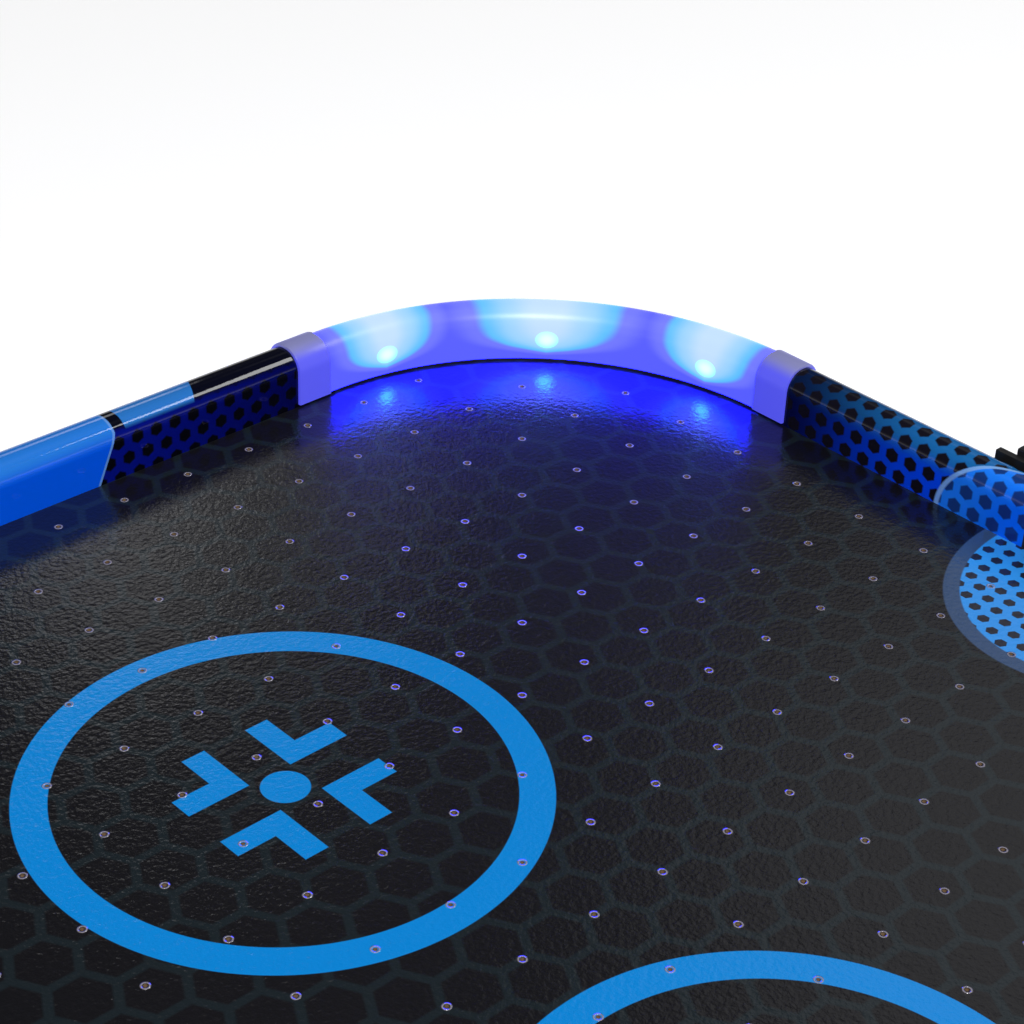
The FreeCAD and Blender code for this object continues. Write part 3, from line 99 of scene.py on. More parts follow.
class Paint:
    """One material: small helpers that add nodes and return their outputs."""

    def __init__(self, name):
        self.material = bpy.data.materials.new(name)
        self.material.use_nodes = True
        self.tree = self.material.node_tree
        self.tree.nodes.clear()
        self.out = self.tree.nodes.new("ShaderNodeOutputMaterial")
        self.shader = self.tree.nodes.new("ShaderNodeBsdfPrincipled")
        self.tree.links.new(self.shader.outputs[0], self.out.inputs["Surface"])
        self.place = self.tree.nodes.new("ShaderNodeTexCoord").outputs["Object"]
        split = self.tree.nodes.new("ShaderNodeSeparateXYZ")
        self.tree.links.new(self.place, split.inputs[0])
        self.x, self.y, self.z = (Num(self, s) * 1000 for s in split.outputs)

    def feed(self, socket, value):
        if isinstance(value, Num):
            value = value.socket
        if isinstance(value, bpy.types.NodeSocket):
            self.tree.links.new(value, socket)
        elif isinstance(value, tuple):
            socket.default_value = (*value, 1.0) if len(value) == 3 else value
        else:
            socket.default_value = value

    def math(self, operation, *values, clamp=False):
        node = self.tree.nodes.new("ShaderNodeMath")
        node.operation = operation
        node.use_clamp = clamp
        for socket, value in zip(node.inputs, values):
            self.feed(socket, value)
        return Num(self, node.outputs[0])

    def least(self, a, b):
        return self.math("MINIMUM", a, b)

    def most(self, a, b):
        return self.math("MAXIMUM", a, b)

    def wrap(self, value, pitch):
        return self.math("WRAP", value, pitch / 2, -pitch / 2)

    def length(self, a, b):
        return self.math("SQRT", a * a + b * b)

    def inside(self, distance, soft=0.3):
        """1 where the signed distance is below zero, fading to 0 over soft millimetres."""
        return self.math("MULTIPLY_ADD", distance, -1 / soft, 0.5, clamp=True)

    def ramp(self, value, low, high):
        """0 at low to 1 at high, with eased ends."""
        node = self.tree.nodes.new("ShaderNodeMapRange")
        node.interpolation_type = "SMOOTHSTEP"
        self.feed(node.inputs["Value"], value)
        node.inputs["From Min"].default_value = low
        node.inputs["From Max"].default_value = high
        return Num(self, node.outputs[0])

    def mix(self, factor, a, b):
        node = self.tree.nodes.new("ShaderNodeMix")
        node.data_type = "RGBA"
        self.feed(node.inputs[0], factor)
        self.feed(node.inputs[6], a)
        self.feed(node.inputs[7], b)
        return node.outputs[2]

    def noise(self, scale, detail=2.0, rough=0.5, stretch=None):
        """Noise whose features are about 1/scale metres across."""
        place = self.place
        if stretch:
            mapping = self.tree.nodes.new("ShaderNodeMapping")
            mapping.inputs["Scale"].default_value = stretch
            self.tree.links.new(self.place, mapping.inputs["Vector"])
            place = mapping.outputs[0]
        node = self.tree.nodes.new("ShaderNodeTexNoise")
        self.tree.links.new(place, node.inputs["Vector"])
        node.inputs["Scale"].default_value = scale
        node.inputs["Detail"].default_value = detail
        node.inputs["Roughness"].default_value = rough
        return Num(self, node.outputs["Fac"])

    def bump(self, height, distance, strength=1.0, under=None):
        node = self.tree.nodes.new("ShaderNodeBump")
        node.inputs["Strength"].default_value = strength
        node.inputs["Distance"].default_value = distance
        self.feed(node.inputs["Height"], height)
        if under is not None:
            self.tree.links.new(under, node.inputs["Normal"])
        return node.outputs[0]

    def finish(self, **values):
        """Sets the shader's inputs, such as Base_Color, and returns the material."""
        for name, value in values.items():
            self.feed(self.shader.inputs[name.replace("_", " ")], value)
        return self.material

    def hexagons(self, along, across, pitch):
        """Distance in millimetres from a point to the middle of its cell in a honeycomb.

        The cells lie side by side at the pitch in across, in columns 0.866 pitches apart in along.
        """
        column = pitch * math.sqrt(3)
        a1 = self.wrap(along, column)
        c1 = self.wrap(across, pitch)
        a2 = self.wrap(along - column / 2, column)
        c2 = self.wrap(across - pitch / 2, pitch)
        nearer = self.math("LESS_THAN", a1 * a1 + c1 * c1, a2 * a2 + c2 * c2)
        a = abs(a2 + (a1 - a2) * nearer)
        c = abs(c2 + (c1 - c2) * nearer)
        return self.most(c, c * 0.5 + a * (math.sqrt(3) / 2))


# ---- materials ------------------------------------------------------------------------------

FILM_BLUE = (0.0, 0.245, 0.71)


def playing_film():
    """Dark honeycomb print with blue rings and goal creases, holes with burred edges, orange peel."""
    p = Paint("playing_film")
    x, y = p.x, p.y
    far_x, far_y = abs(x), abs(y)
    cell = p.hexagons(x - 403.5, y, 16.06)
    line = p.inside(8.03 - cell - 1.25, 0.7)
    cloud = p.noise(9, 3)
    ground = p.mix(cloud, (0.0036, 0.0036, 0.0054), (0.0068, 0.0064, 0.0086))
    colour = p.mix(line * 0.75, ground, (0.0095, 0.0175, 0.0225))
    ring_x, ring_y = far_x - 250.7, far_y - 87
    reach = p.length(ring_x, ring_y)
    ring = p.inside(abs(reach - 65.25) - 4.75)
    dot = p.inside(reach - 6.6)
    u, v = abs(ring_x) - 6.8, abs(ring_y) - 6.5
    elbow = p.most(p.most(0 - p.least(u, v), p.most(u, v) - 19.2), p.least(u, v) - 7.3)
    mark = p.most(p.most(ring, dot), p.inside(elbow))
    centre_line = p.inside(p.least(far_x - 3, abs(p.length(x, y) - 85) - 4.75))
    mark = p.most(mark, centre_line)
    colour = p.mix(mark, colour, FILM_BLUE)
    oval = p.length((far_x - end_inner) / 54.6, y / 46.1)
    colour = p.mix(p.inside(oval - 1, 0.01), colour, (0.035, 0.075, 0.17))
    spots = p.inside(p.hexagons(y, x - 400, 6.3) - 1.75)
    crease = p.mix(spots, (0.03, 0.3, 0.85), (0.012, 0.015, 0.03))
    colour = p.mix(p.inside(oval - 0.9, 0.01), colour, crease)
    hole = p.length(p.wrap(x - 12.03, 24.06), p.wrap(y, 25.4))
    past = p.length(p.most(far_x - corner_x, 0), p.most(far_y - corner_y, 0))
    here = p.inside(far_x - 472) * p.inside(far_y - 231) * p.inside(past - 93.5)
    burr = p.inside(abs(hole - 1.05) - 0.2, 0.3) * here
    colour = p.mix(burr * 0.9, colour, (0.34, 0.31, 0.37))
    top = p.inside(surface - 0.05 - p.z, 0.02)
    fibre = p.mix(p.noise(900, 3), (0.2, 0.12, 0.06), (0.32, 0.21, 0.12))
    colour = p.mix(top, fibre, colour)
    grain = p.noise(640, 3, 0.55) + p.noise(260, 2) * 0.35
    rise = p.bump(grain, 0.00022, 0.6)
    rise = p.bump(burr, 0.00025, 0.9, under=rise)
    rough = 0.36 + p.noise(40, 2) * 0.1 + (1 - top) * 0.3
    p.feed(p.shader.inputs["Coat Normal"], rise)
    return p.finish(
        Base_Color=colour, Roughness=rough, Normal=rise, Specular_IOR_Level=0.15,
        Coat_Weight=top * 0.95, Coat_Roughness=p.noise(25, 2) * 0.02 + 0.015,
    )


def rail_unrolled(p, across, inner):
    """Distance up a rail's inner wall and over its rounded edge to its top."""
    radius = 6.5
    shoulder = rail_top - radius - surface
    height = p.z - surface
    angle = p.math("ARCTAN2", p.most(height - shoulder, 0), p.most(inner + radius - across, 0.0001))
    return p.least(height, shoulder) + angle * radius + p.most(across - inner - radius, 0)


def side_rail_film():
    """Blue panels with pale outlines on black, with a fine dotted screen on the black; the panels carry
    painted light and shade.
    """
    p = Paint("side_rail_film")
    along = abs(p.x)
    across = abs(p.y)
    height = p.z - surface
    unrolled = rail_unrolled(p, across, side_inner)
    ontop = p.inside(side_inner + 1.5 - across, 1.0)
    slant = p.math("MINIMUM", height, 16) * (7 / 16)
    dots = p.inside(p.hexagons(unrolled, along, 7.15) - 2.15, 0.6)
    fade = p.ramp(along, 300, 395)
    navy = p.mix(fade, (0.0006, 0.005, 0.2), (0.0003, 0.0007, 0.05))
    colour = p.mix(dots * (1 - ontop), navy, (0.0012, 0.0012, 0.004))
    colour = p.mix(ontop, colour, (0.002, 0.0025, 0.009))
    edge = 300 + slant - along
    inner_edge = along - 150 + slant
    panel = p.least(edge, inner_edge)
    # Painted shade: the panel is darker on the rail's outer face, which the key light strikes hardest.
    # Painted light: the panel turns paler from the inner wall over the rounded top.
    outer_face_painted_shade = p.inside(side_inner + 9 - across, 1.0)
    wall = p.mix(outer_face_painted_shade, (0.0, 0.105, 0.85), (0.0, 0.095, 0.55))
    panel_painted_light_and_shade = p.mix(p.ramp(height, 12, 17), wall, (0.02, 0.19, 0.68))
    colour = p.mix(p.inside(0 - panel), colour, (0.12, 0.3, 0.72))
    colour = p.mix(p.inside(0.85 - panel), colour, panel_painted_light_and_shade)
    second = p.least(along - 311 - slant + 7, 337 + (across - side_inner) * 0.43 - along)
    colour = p.mix(p.inside(0 - second) * ontop, colour, (0.025, 0.18, 0.56))
    third = p.least(along - 40 + slant, 118 - slant - along)
    colour = p.mix(p.inside(0 - third) * ontop, colour, (0.025, 0.18, 0.56))
    return rail_finish(p, colour, across, side_inner)


def end_rail_film():
    """Dotted blue that brightens towards the goal, with a paler arch around the goal."""
    p = Paint("end_rail_film")
    along = abs(p.y)
    across = abs(p.x)
    unrolled = rail_unrolled(p, across, end_inner)
    towards = 1 - p.ramp(along, 62, 132)
    low = p.mix(towards, (0.0012, 0.002, 0.03), (0.0, 0.07, 0.92))
    high = p.mix(towards, (0.002, 0.008, 0.045), (0.01, 0.14, 0.42))
    colour = p.mix(p.ramp(unrolled, 9, 17), low, high)
    spots = p.inside(p.hexagons(unrolled - 2.5, along, 7.35) - 2.35, 0.5)
    colour = p.mix(spots, colour, (0.007, 0.006, 0.012))
    arch = p.length(along / 65.5, unrolled / 32)
    outside = across - end_inner - thick + 0.5
    inner_side = p.inside(outside)
    glow = p.mix(p.ramp(arch, 0.55, 0.95), (0.0, 0.15, 1.0), (0.012, 0.22, 1.0))
    glow = p.mix(spots * 0.85, glow, (0.008, 0.012, 0.07))
    colour = p.mix(p.inside(arch - 1, 0.012) * inner_side, colour, glow)
    colour = p.mix(p.inside(abs(arch - 1) - 0.013, 0.01) * inner_side, colour, (0.2, 0.42, 0.85))
    return rail_finish(p, colour, across, end_inner)


def rail_finish(p, colour, across, inner):
    """Glossy film on the faces, bare fibreboard underneath and inside below the playing surface."""
    inward = p.inside(p.z - surface + 0.3, 0.2) * p.inside(across - inner - 0.3, 0.2)
    bare = p.most(p.inside(p.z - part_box("side_rail_back")[0].z / MM - 0.05, 0.02), inward)
    fibre = p.mix(p.noise(900, 3), (0.2, 0.12, 0.06), (0.32, 0.21, 0.12))
    colour = p.mix(bare, colour, fibre)
    rise = p.bump(p.noise(450, 2), 0.00005, 0.35)
    rough = 0.03 + p.noise(60, 2) * 0.05 + bare * 0.5
    return p.finish(Base_Color=colour, Roughness=rough, Normal=rise, Specular_IOR_Level=0.4)


def lens_glow(name):
    """Frosted plastic lit by the three lamps behind it."""
    x_side, y_side, quarter = CORNERS[name]
    p = Paint(f"lens_{name}")
    dx = p.x - x_side * corner_x
    dy = p.y - y_side * corner_y
    turn = -math.radians(90 * quarter)
    lx = dx * math.cos(turn) - dy * math.sin(turn)
    ly = dx * math.sin(turn) + dy * math.cos(turn)
    angle = p.math("ARCTAN2", ly, lx) * (180 / math.pi)
    height = p.z - surface
    below = p.math("EXPONENT", (3.2 - height) / 3.4) * 1.2
    halo = None
    core = None
    for led, width in zip(LED_ANGLES, (14.0, 20.5, 14.0)):
        aside = abs(angle - led) * (inner_radius * math.pi / 180)
        reach = aside / width + below
        distance = p.length(aside, (height - 8.2) * 1.25)
        halo = reach if halo is None else p.least(halo, reach)
        core = distance if core is None else p.least(core, distance)
    halo = halo + (p.noise(70, 2) - 0.5) * 0.12
    violet = p.mix(p.ramp(halo, 1.3, 1.75), (0.0135, 0.0155, 1.0), (0.0072, 0.0085, 0.95))
    glow = p.mix(p.ramp(halo, 1.06, 1.28), (0.0085, 0.048, 1.0), violet)
    glow = p.mix(p.ramp(halo, 0.66, 1.12), (0.03, 0.06, 1.0), glow)
    glow = p.mix(p.ramp(halo, 0.2, 0.75), (0.05, 0.069, 1.0), glow)
    glow = p.mix(p.ramp(core, 0.4, 4.4), (0.078, 0.58, 1.0), glow)
    rise = p.bump(p.noise(1500, 3), 0.00003, 0.4)
    return p.finish(
        Base_Color=(0.05, 0.055, 0.13), Roughness=0.36, Normal=rise,
        Emission_Color=glow, Emission_Strength=10.5,
    )


def collar_plastic_painted_glow():
    """The ends of the frosted moulding with no lamp behind them, where they lap over the rails; they carry a
    painted blue glow from the corner lamps.
    """
    p = Paint("collar")
    height = p.z - surface
    # Painted glow: a weak blue emission over the whole collar stands in for light from the corner lamps. It
    # is stronger below the rounded top, where the tint also turns bluer.
    low = 1 - p.ramp(height, 16.5, 20.6)
    painted_glow_tint = p.mix(low, (0.24, 0.245, 0.4), (0.09, 0.09, 0.34))
    glow = p.mix(low, (0.012, 0.013, 0.07), (0.04, 0.045, 0.6))
    rise = p.bump(p.noise(1500, 3), 0.00003, 0.4)
    return p.finish(
        Base_Color=painted_glow_tint, Roughness=p.noise(200) * 0.1 + 0.3, Normal=rise,
        Emission_Color=glow, Emission_Strength=1.0,
    )


def moulded(name, dark, light, rough=0.42, grain=0.00005, scale=1400, coat=0.0):
    """Moulded plastic: a fine texture and slight differences in colour and gloss."""
    p = Paint(name)
    colour = p.mix(p.noise(35, 3), dark, light)
    rise = p.bump(p.noise(scale, 3, 0.6), grain, 0.5)
    return p.finish(
        Base_Color=colour, Roughness=p.noise(55, 3) * 0.16 + (rough - 0.08), Normal=rise,
        Coat_Weight=coat, Coat_Roughness=0.08,
    )


def rubber(name):
    p = Paint(name)
    colour = p.mix(p.noise(60, 4), (0.011, 0.011, 0.011), (0.026, 0.025, 0.024))
    rough = p.noise(120) * 0.15 + 0.68
    rise = p.bump(p.noise(900, 4), 0.0001, 0.6)
    return p.finish(Base_Color=colour, Roughness=rough, Normal=rise)


def metal(name, dark, light, rough):
    p = Paint(name)
    brushed = p.noise(260, 3, stretch=(1, 1, 14))
    return p.finish(
        Base_Color=p.mix(brushed, dark, light), Metallic=1.0,
        Roughness=p.noise(400, 2) * 0.16 + (rough - 0.06), Normal=p.bump(brushed, 0.00002, 0.4),
    )


def board(name, dark, light, scale, stretch=None):
    p = Paint(name)
    fibres = p.noise(scale, 4, 0.65, stretch)
    colour = p.mix(fibres, dark, light)
    rough = p.noise(90) * 0.1 + 0.68
    rise = p.bump(fibres, 0.0001, 0.5)
    return p.finish(Base_Color=colour, Roughness=rough, Normal=rise)


def felt():
    p = Paint("felt")
    fibres = p.noise(2600, 4, 0.7)
    return p.finish(
        Base_Color=p.mix(fibres, (0.008, 0.008, 0.01), (0.05, 0.05, 0.055)), Roughness=0.95,
        Normal=p.bump(fibres, 0.0003, 0.9), Sheen_Weight=0.5, Sheen_Roughness=0.5,
    )


def circuit():
    p = Paint("circuit_board")
    tracks = p.inside(abs(p.wrap(p.x + p.z * 0.5, 2.4)) - 0.35, 0.15)
    colour = p.mix(tracks, (0.004, 0.05, 0.014), (0.012, 0.11, 0.035))
    rough = p.noise(300) * 0.1 + 0.3
    rise = p.bump(tracks, 0.00004, 0.6)
    return p.finish(Base_Color=colour, Roughness=rough, Normal=rise)


def lamp():
    p = Paint("lamp")
    glow = p.mix(p.noise(800), (0.3, 0.45, 1.0), (0.5, 0.65, 1.0))
    return p.finish(
        Base_Color=(0.8, 0.8, 0.8), Roughness=0.3, Emission_Color=glow, Emission_Strength=4.0,
        Normal=p.bump(p.noise(3000), 0.00002),
    )


# ---- mesh helpers ---------------------------------------------------------------------------


def new_object(name, mesh, *materials):
    item = bpy.data.objects.new(name, mesh)
    bpy.context.collection.objects.link(item)
    for material in materials:
        mesh.materials.append(material)
    return item


def smooth(mesh, angle=35):
    mesh.shade_smooth()
    mesh.set_sharp_from_angle(angle=math.radians(angle))


def soften(node, width, material, segments=2, angle=32):
    """A copy of a CAD node with its edges rounded a little, shown in the node's place."""
    source = frame["nodes"][node]
    bm = bmesh.new()
    bm.from_mesh(source.data)
    bmesh.ops.remove_doubles(bm, verts=bm.verts, dist=2e-6)
    bmesh.ops.dissolve_limit(bm, angle_limit=math.radians(0.4), verts=bm.verts, edges=bm.edges)
    mesh = bpy.data.meshes.new(f"{node}_soft")
    bm.to_mesh(mesh)
    bm.free()
    item = new_object(f"{node}_soft", mesh, material)
    bevel = item.modifiers.new("Bevel", "BEVEL")
    bevel.width = width * MM
    bevel.segments = segments
    bevel.limit_method = "ANGLE"
    bevel.angle_limit = math.radians(angle)
    bevel.harden_normals = False
    smooth(mesh, 30)
    stand_for(item, node)
    return item


def stand_for(item, *nodes):
    """Shows a piece in place of CAD nodes, on their body."""
    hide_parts(*nodes)
    body = next(b for b, names in frame["record"]["behaviour"]["bodies"].items() if nodes[0] in names)
    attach(item, body)


def paint_node(node, material):
    source = frame["nodes"][node]
    source.data.materials.clear()
    source.data.materials.append(material)


def rail_section(left, right, bottom, top, radius, steps=10):
    """Points of an upright section with two rounded top corners, from bottom left over the top."""
    points = [(left, bottom)]
    for i in range(steps + 1):
        turn = math.pi - i / steps * math.pi / 2
        points.append((left + radius + radius * math.cos(turn), top - radius + radius * math.sin(turn)))
    for i in range(steps + 1):
        turn = math.pi / 2 - i / steps * math.pi / 2
        points.append((right - radius + radius * math.cos(turn), top - radius + radius * math.sin(turn)))
    points.append((right, bottom))
    return points


def sweep(bm, stations, loop, material_index):
    """Joins copies of a closed loop of (radius, height) points, one at each station, and closes the ends.

    A station is (corner centre x, y offset, angle): the plan point is centre + radius along the angle.
    """
    rings = []
    for shift_x, shift_y, angle in stations:
        way = Vector((math.cos(angle), math.sin(angle), 0))
        ring = []
        for radius, height in loop:
            spot = Vector((shift_x, shift_y, 0)) + way * radius
            ring.append(bm.verts.new((spot.x * MM, spot.y * MM, height * MM)))
        rings.append(ring)
    count = len(loop)
    for a, b in zip(rings, rings[1:]):
        for i in range(count):
            face = bm.faces.new((a[i], b[i], b[(i + 1) % count], a[(i + 1) % count]))
            face.material_index = material_index
    half = count // 2
    for ring, flip in ((rings[0], False), (rings[-1], True)):
        for i in range(half - 1):
            quad = [ring[i], ring[i + 1], ring[count - 2 - i], ring[count - 1 - i]]
            face = bm.faces.new(quad[::-1] if flip else quad)
            face.material_index = material_index


def shell_loop(outer, wall):
    """A closed loop for a hollow moulding: outside over the top, then inside back."""
    left, right, bottom, top, radius = outer
    inner = rail_section(left + wall, right - wall, bottom, top - wall, max(radius - wall, 0.4))
    return rail_section(*outer) + inner[::-1]


def corner_moulding(name, side_first, lit, unlit):
    """The frosted quarter turn and its two collars."""
    x_side, y_side, quarter = CORNERS[name]
    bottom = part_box(f"corner_lens_{name}")[0].z / MM
    outer_radius = inner_radius + thick
    side = (15.7, 2.2)
    end = (11.0, -2.5)
    far_leg, near_leg = (side, end) if side_first else (end, side)
    bm = bmesh.new()
    wall_loop = shell_loop((inner_radius - 0.2, outer_radius + 0.2, bottom, rail_top + 0.3, 6.7), 1.8)
    stations = [(0, -near_leg[1] - 0.4, 0)] if near_leg[1] > 0 else []
    first = max(-near_leg[1], 0) - 0.4
    last = max(-far_leg[1], 0) - 0.4
    begin = math.asin(max(first, 0) / inner_radius)
    finish = math.pi / 2 - math.asin(max(last, 0) / inner_radius)
    steps = 72
    stations += [(0, 0, begin + (finish - begin) * i / steps) for i in range(steps + 1)]
    if far_leg[1] > 0:
        stations.append((-far_leg[1] - 0.4, 0, math.pi / 2))
    sweep(bm, stations, wall_loop, 0)
    rim = (inner_radius - 1.2, outer_radius + 1.2, bottom, rail_top + 1.2, 7.7)

    def collar(along_x, far, near):
        lip = 0.5
        whole = shell_loop(rim, 1.1)
        slim = (rim[0] + lip, rim[1] - lip, rim[2], rim[3] - lip, rim[4] - lip)
        narrow = shell_loop(slim, 1.1 - lip)
        spots = [
            (far, narrow), (far - lip * 0.3, None), (far - lip, whole),
            (near + lip, whole), (near, narrow),
        ]
        rings = []
        for distance, loop in spots:
            if loop is None:
                inset_third = lip * 0.3
                part = (
                    rim[0] + inset_third, rim[1] - inset_third, rim[2],
                    rim[3] - inset_third, rim[4] - inset_third,
                )
                loop = shell_loop(part, 1.1 - lip * 0.3)
            ring = []
            for radius, height in loop:
                spot = (-distance, radius) if along_x else (radius, -distance)
                ring.append(bm.verts.new((spot[0] * MM, spot[1] * MM, height * MM)))
            rings.append(ring)
        count = len(rings[0])
        for a, b in zip(rings, rings[1:]):
            for i in range(count):
                face = bm.faces.new((a[i], b[i], b[(i + 1) % count], a[(i + 1) % count]))
                face.material_index = 1
        half = count // 2
        for ring in (rings[0], rings[-1]):
            for i in range(half - 1):
                face = bm.faces.new((ring[i], ring[i + 1], ring[count - 2 - i], ring[count - 1 - i]))
                face.material_index = 1

    collar(True, *far_leg)
    collar(False, *near_leg)
    bmesh.ops.recalc_face_normals(bm, faces=bm.faces)
    turn = Matrix.Rotation(math.radians(90 * quarter), 4, "Z")
    shift = Matrix.Translation((x_side * corner_x * MM, y_side * corner_y * MM, 0))
    bmesh.ops.transform(bm, matrix=shift @ turn, verts=bm.verts)
    mesh = bpy.data.meshes.new(f"moulding_{name}")
    bm.to_mesh(mesh)
    bm.free()
    item = new_object(f"moulding_{name}", mesh, lit, unlit)
    smooth(mesh, 40)
    stand_for(item, f"corner_lens_{name}")


def lathe(name, profile, centre, base, material, steps=96):
    """A turned piece from (radius, height) points; a radius of zero closes it."""
    bm = bmesh.new()
    rings = []
    for radius, height in profile:
        if radius == 0:
            rings.append([bm.verts.new((centre[0], centre[1], base + height * MM))])
            continue
        ring = []
        for i in range(steps):
            turn = 2 * math.pi * i / steps
            x = centre[0] + radius * MM * math.cos(turn)
            y = centre[1] + radius * MM * math.sin(turn)
            ring.append(bm.verts.new((x, y, base + height * MM)))
        rings.append(ring)
    pairs = list(zip(rings, rings[1:]))
    if len(rings[0]) > 1 and len(rings[-1]) > 1:
        pairs.append((rings[-1], rings[0]))
    for a, b in pairs:
        for i in range(steps):
            j = (i + 1) % steps
            if len(a) == 1:
                bm.faces.new((a[0], b[j], b[i]))
            elif len(b) == 1:
                bm.faces.new((a[i], a[j], b[0]))
            else:
                bm.faces.new((a[i], a[j], b[j], b[i]))
    bmesh.ops.recalc_face_normals(bm, faces=bm.faces)
    mesh = bpy.data.meshes.new(name)
    bm.to_mesh(mesh)
    bm.free()
    smooth(mesh, 40)
    return new_object(name, mesh, material)


def eased(points, rounds=2):
    """Cuts the corners of a profile a few times, which rounds them."""
    for _ in range(rounds):
        result = [points[0]]
        for a, b in zip(points, points[1:]):
            result.append((a[0] * 0.75 + b[0] * 0.25, a[1] * 0.75 + b[1] * 0.25))
            result.append((a[0] * 0.25 + b[0] * 0.75, a[1] * 0.25 + b[1] * 0.75))
        result.append(points[-1])
        points = result
    return points


# ---- pieces ---------------------------------------------------------------------------------


def build_corners():
    black = moulded("black_moulding", (0.008, 0.008, 0.009), (0.016, 0.016, 0.018), 0.45)
    strip = moulded("led_strip", (0.6, 0.6, 0.62), (0.75, 0.75, 0.76), 0.4)
    unlit = collar_plastic_painted_glow()
    for name, (_, _, quarter) in CORNERS.items():
        corner_moulding(name, quarter % 2 == 0, lens_glow(name), unlit)
        soften(f"corner_leg_{name}", 0.5, black)
        paint_node(f"led_strip_{name}", strip)
    paint_node("leds", lamp())
    return black


def build_board():
    paint_node("playfield", playing_film())
    side_film = side_rail_film()
    end_film = end_rail_film()
    for node in ("side_rail_back", "side_rail_front"):
        paint_node(node, side_film)
    for node in ("end_rail_left", "end_rail_right"):
        paint_node(node, end_film)
    paint_node("floor_panel", board("hardboard", (0.11, 0.06, 0.03), (0.24, 0.14, 0.075), 700))
    paint_node("support_blocks", board("raw_wood", (0.42, 0.27, 0.14), (0.68, 0.5, 0.3), 60, (1, 8, 1)))
    paint_node("foot_pads", rubber("rubber"))


def build_goals(black, blue, steel):
    satin = moulded("satin_black", (0.009, 0.009, 0.011), (0.02, 0.02, 0.023), 0.3)
    for end in ("left", "right"):
        paint_node(f"goal_liner_{end}", black)
        soften(f"puck_catcher_{end}", 0.6, black)
        soften(f"score_bar_{end}", 0.4, satin)
        soften(f"score_slider_{end}", 0.25, blue)
    soften("catcher_screws", 0.2, steel)
    soften("rail_screws", 0.2, steel)
    return satin


def build_blower(steel):
    plain = moulded("blower_black", (0.01, 0.01, 0.011), (0.022, 0.022, 0.024), 0.5)
    grey = moulded("fan_grey", (0.12, 0.125, 0.135), (0.17, 0.175, 0.185), 0.35)
    soften("blower_housing", 0.4, plain)
    soften("intake_grille", 0.3, plain)
    soften("motor_bracket", 0.3, plain)
    soften("fan", 0.2, grey)
    soften("blower_motor", 0.4, steel)
    paint_node("motor_shaft", steel)
    paint_node("blower_gasket", rubber("foam"))
    soften("blower_screws", 0.2, steel)


def build_controls(satin, blue, black):
    gloss = moulded("gloss_black", (0.006, 0.006, 0.006), (0.01, 0.01, 0.011), 0.18, coat=0.5)
    soften("control_plate", 0.3, satin)
    soften("switch_housing", 0.25, gloss)
    soften("power_rocker", 0.3, gloss)
    soften("light_button", 0.25, blue)
    soften("power_inlet", 0.15, gloss)
    soften("control_cover", 0.4, black)
    paint_node("control_board", circuit())
    paint_node("lamp_leads", moulded("lead_white", (0.6, 0.6, 0.58), (0.75, 0.75, 0.73), 0.4))
    paint_node("motor_lead", moulded("lead_red", (0.35, 0.01, 0.01), (0.5, 0.02, 0.015), 0.4))
    soften("lead_clips", 0.3, moulded("clip_white", (0.6, 0.6, 0.58), (0.75, 0.75, 0.73), 0.45))


def build_playing_pieces(blue):
    wool = felt()
    for side in ("left", "right"):
        low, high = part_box(f"pusher_{side}")
        centre = ((low.x + high.x) / 2, (low.y + high.y) / 2)
        top = (high.z - low.z) / MM
        outside = [
            (33, 0.4), (33, 7.2), (30.8, 9.6), (17, 11.6), (9.6, 16), (8.9, 24), (10.5, 30),
            (13, 35), (13, 40), (9, top - 0.6), (4, top), (0, top),
        ]
        inside = [
            (0, top - 3), (5.5, top - 4), (7, 35), (6, 20),
            (11.5, 9.3), (28.5, 7.2), (30.2, 5.4), (30.4, 0),
        ]
        profile = [(0, top - 3)] + eased(inside, 2)[1:] + [(30.7, 0), (32.7, 0)] + eased(outside, 2)
        piece = lathe(f"pusher_{side}_shell", profile, centre, low.z, blue)
        stand_for(piece, f"pusher_{side}")
        paint_node(f"pusher_felt_{side}", wool)
    pale = moulded("puck_plastic", (0.42, 0.44, 0.48), (0.55, 0.57, 0.6), 0.25, coat=0.3)
    for name in ("in_play", "spare"):
        low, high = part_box(f"puck_{name}")
        centre = ((low.x + high.x) / 2, (low.y + high.y) / 2)
        radius = (high.x - low.x) / 2 / MM
        height = (high.z - low.z) / MM
        edge = 0.8
        profile = [(0, 0), (radius - edge, 0), (radius - 0.25, 0.25), (radius, edge), (radius, height - edge)]
        profile += [(radius - 0.25, height - 0.25), (radius - edge, height), (radius - 7.4, height)]
        profile += [(radius - 8, height - 0.2), (radius - 8.4, height - 0.8), (radius - 12, height - 0.8)]
        profile += [
            (radius - 12.3, height - 0.45), (radius - 13.3, height - 0.45),
            (radius - 13.6, height - 0.8),
        ]
        profile += [(0, height - 0.8)]
        piece = lathe(f"puck_{name}_turned", profile, centre, low.z, pale)
        stand_for(piece, f"puck_{name}")


# ---- camera, light and floor ----------------------------------------------------------------


def add_camera():
    data = bpy.data.cameras.new("Camera")
    data.lens = 82.96
    data.sensor_width = 36
    data.clip_start = 0.01
    camera = bpy.data.objects.new("Camera", data)
    bpy.context.collection.objects.link(camera)
    right = Vector((0.72758907, -0.68492989, 0.03853812))
    forward = Vector((0.59636628, 0.60374499, -0.52899835))
    up = right.cross(forward)
    turn = Matrix((right, up, -forward)).transposed()
    camera.matrix_world = Matrix.Translation((-0.046295, -0.292283, 0.385038 + surface * MM)) @ turn.to_4x4()
    bpy.context.scene.camera = camera


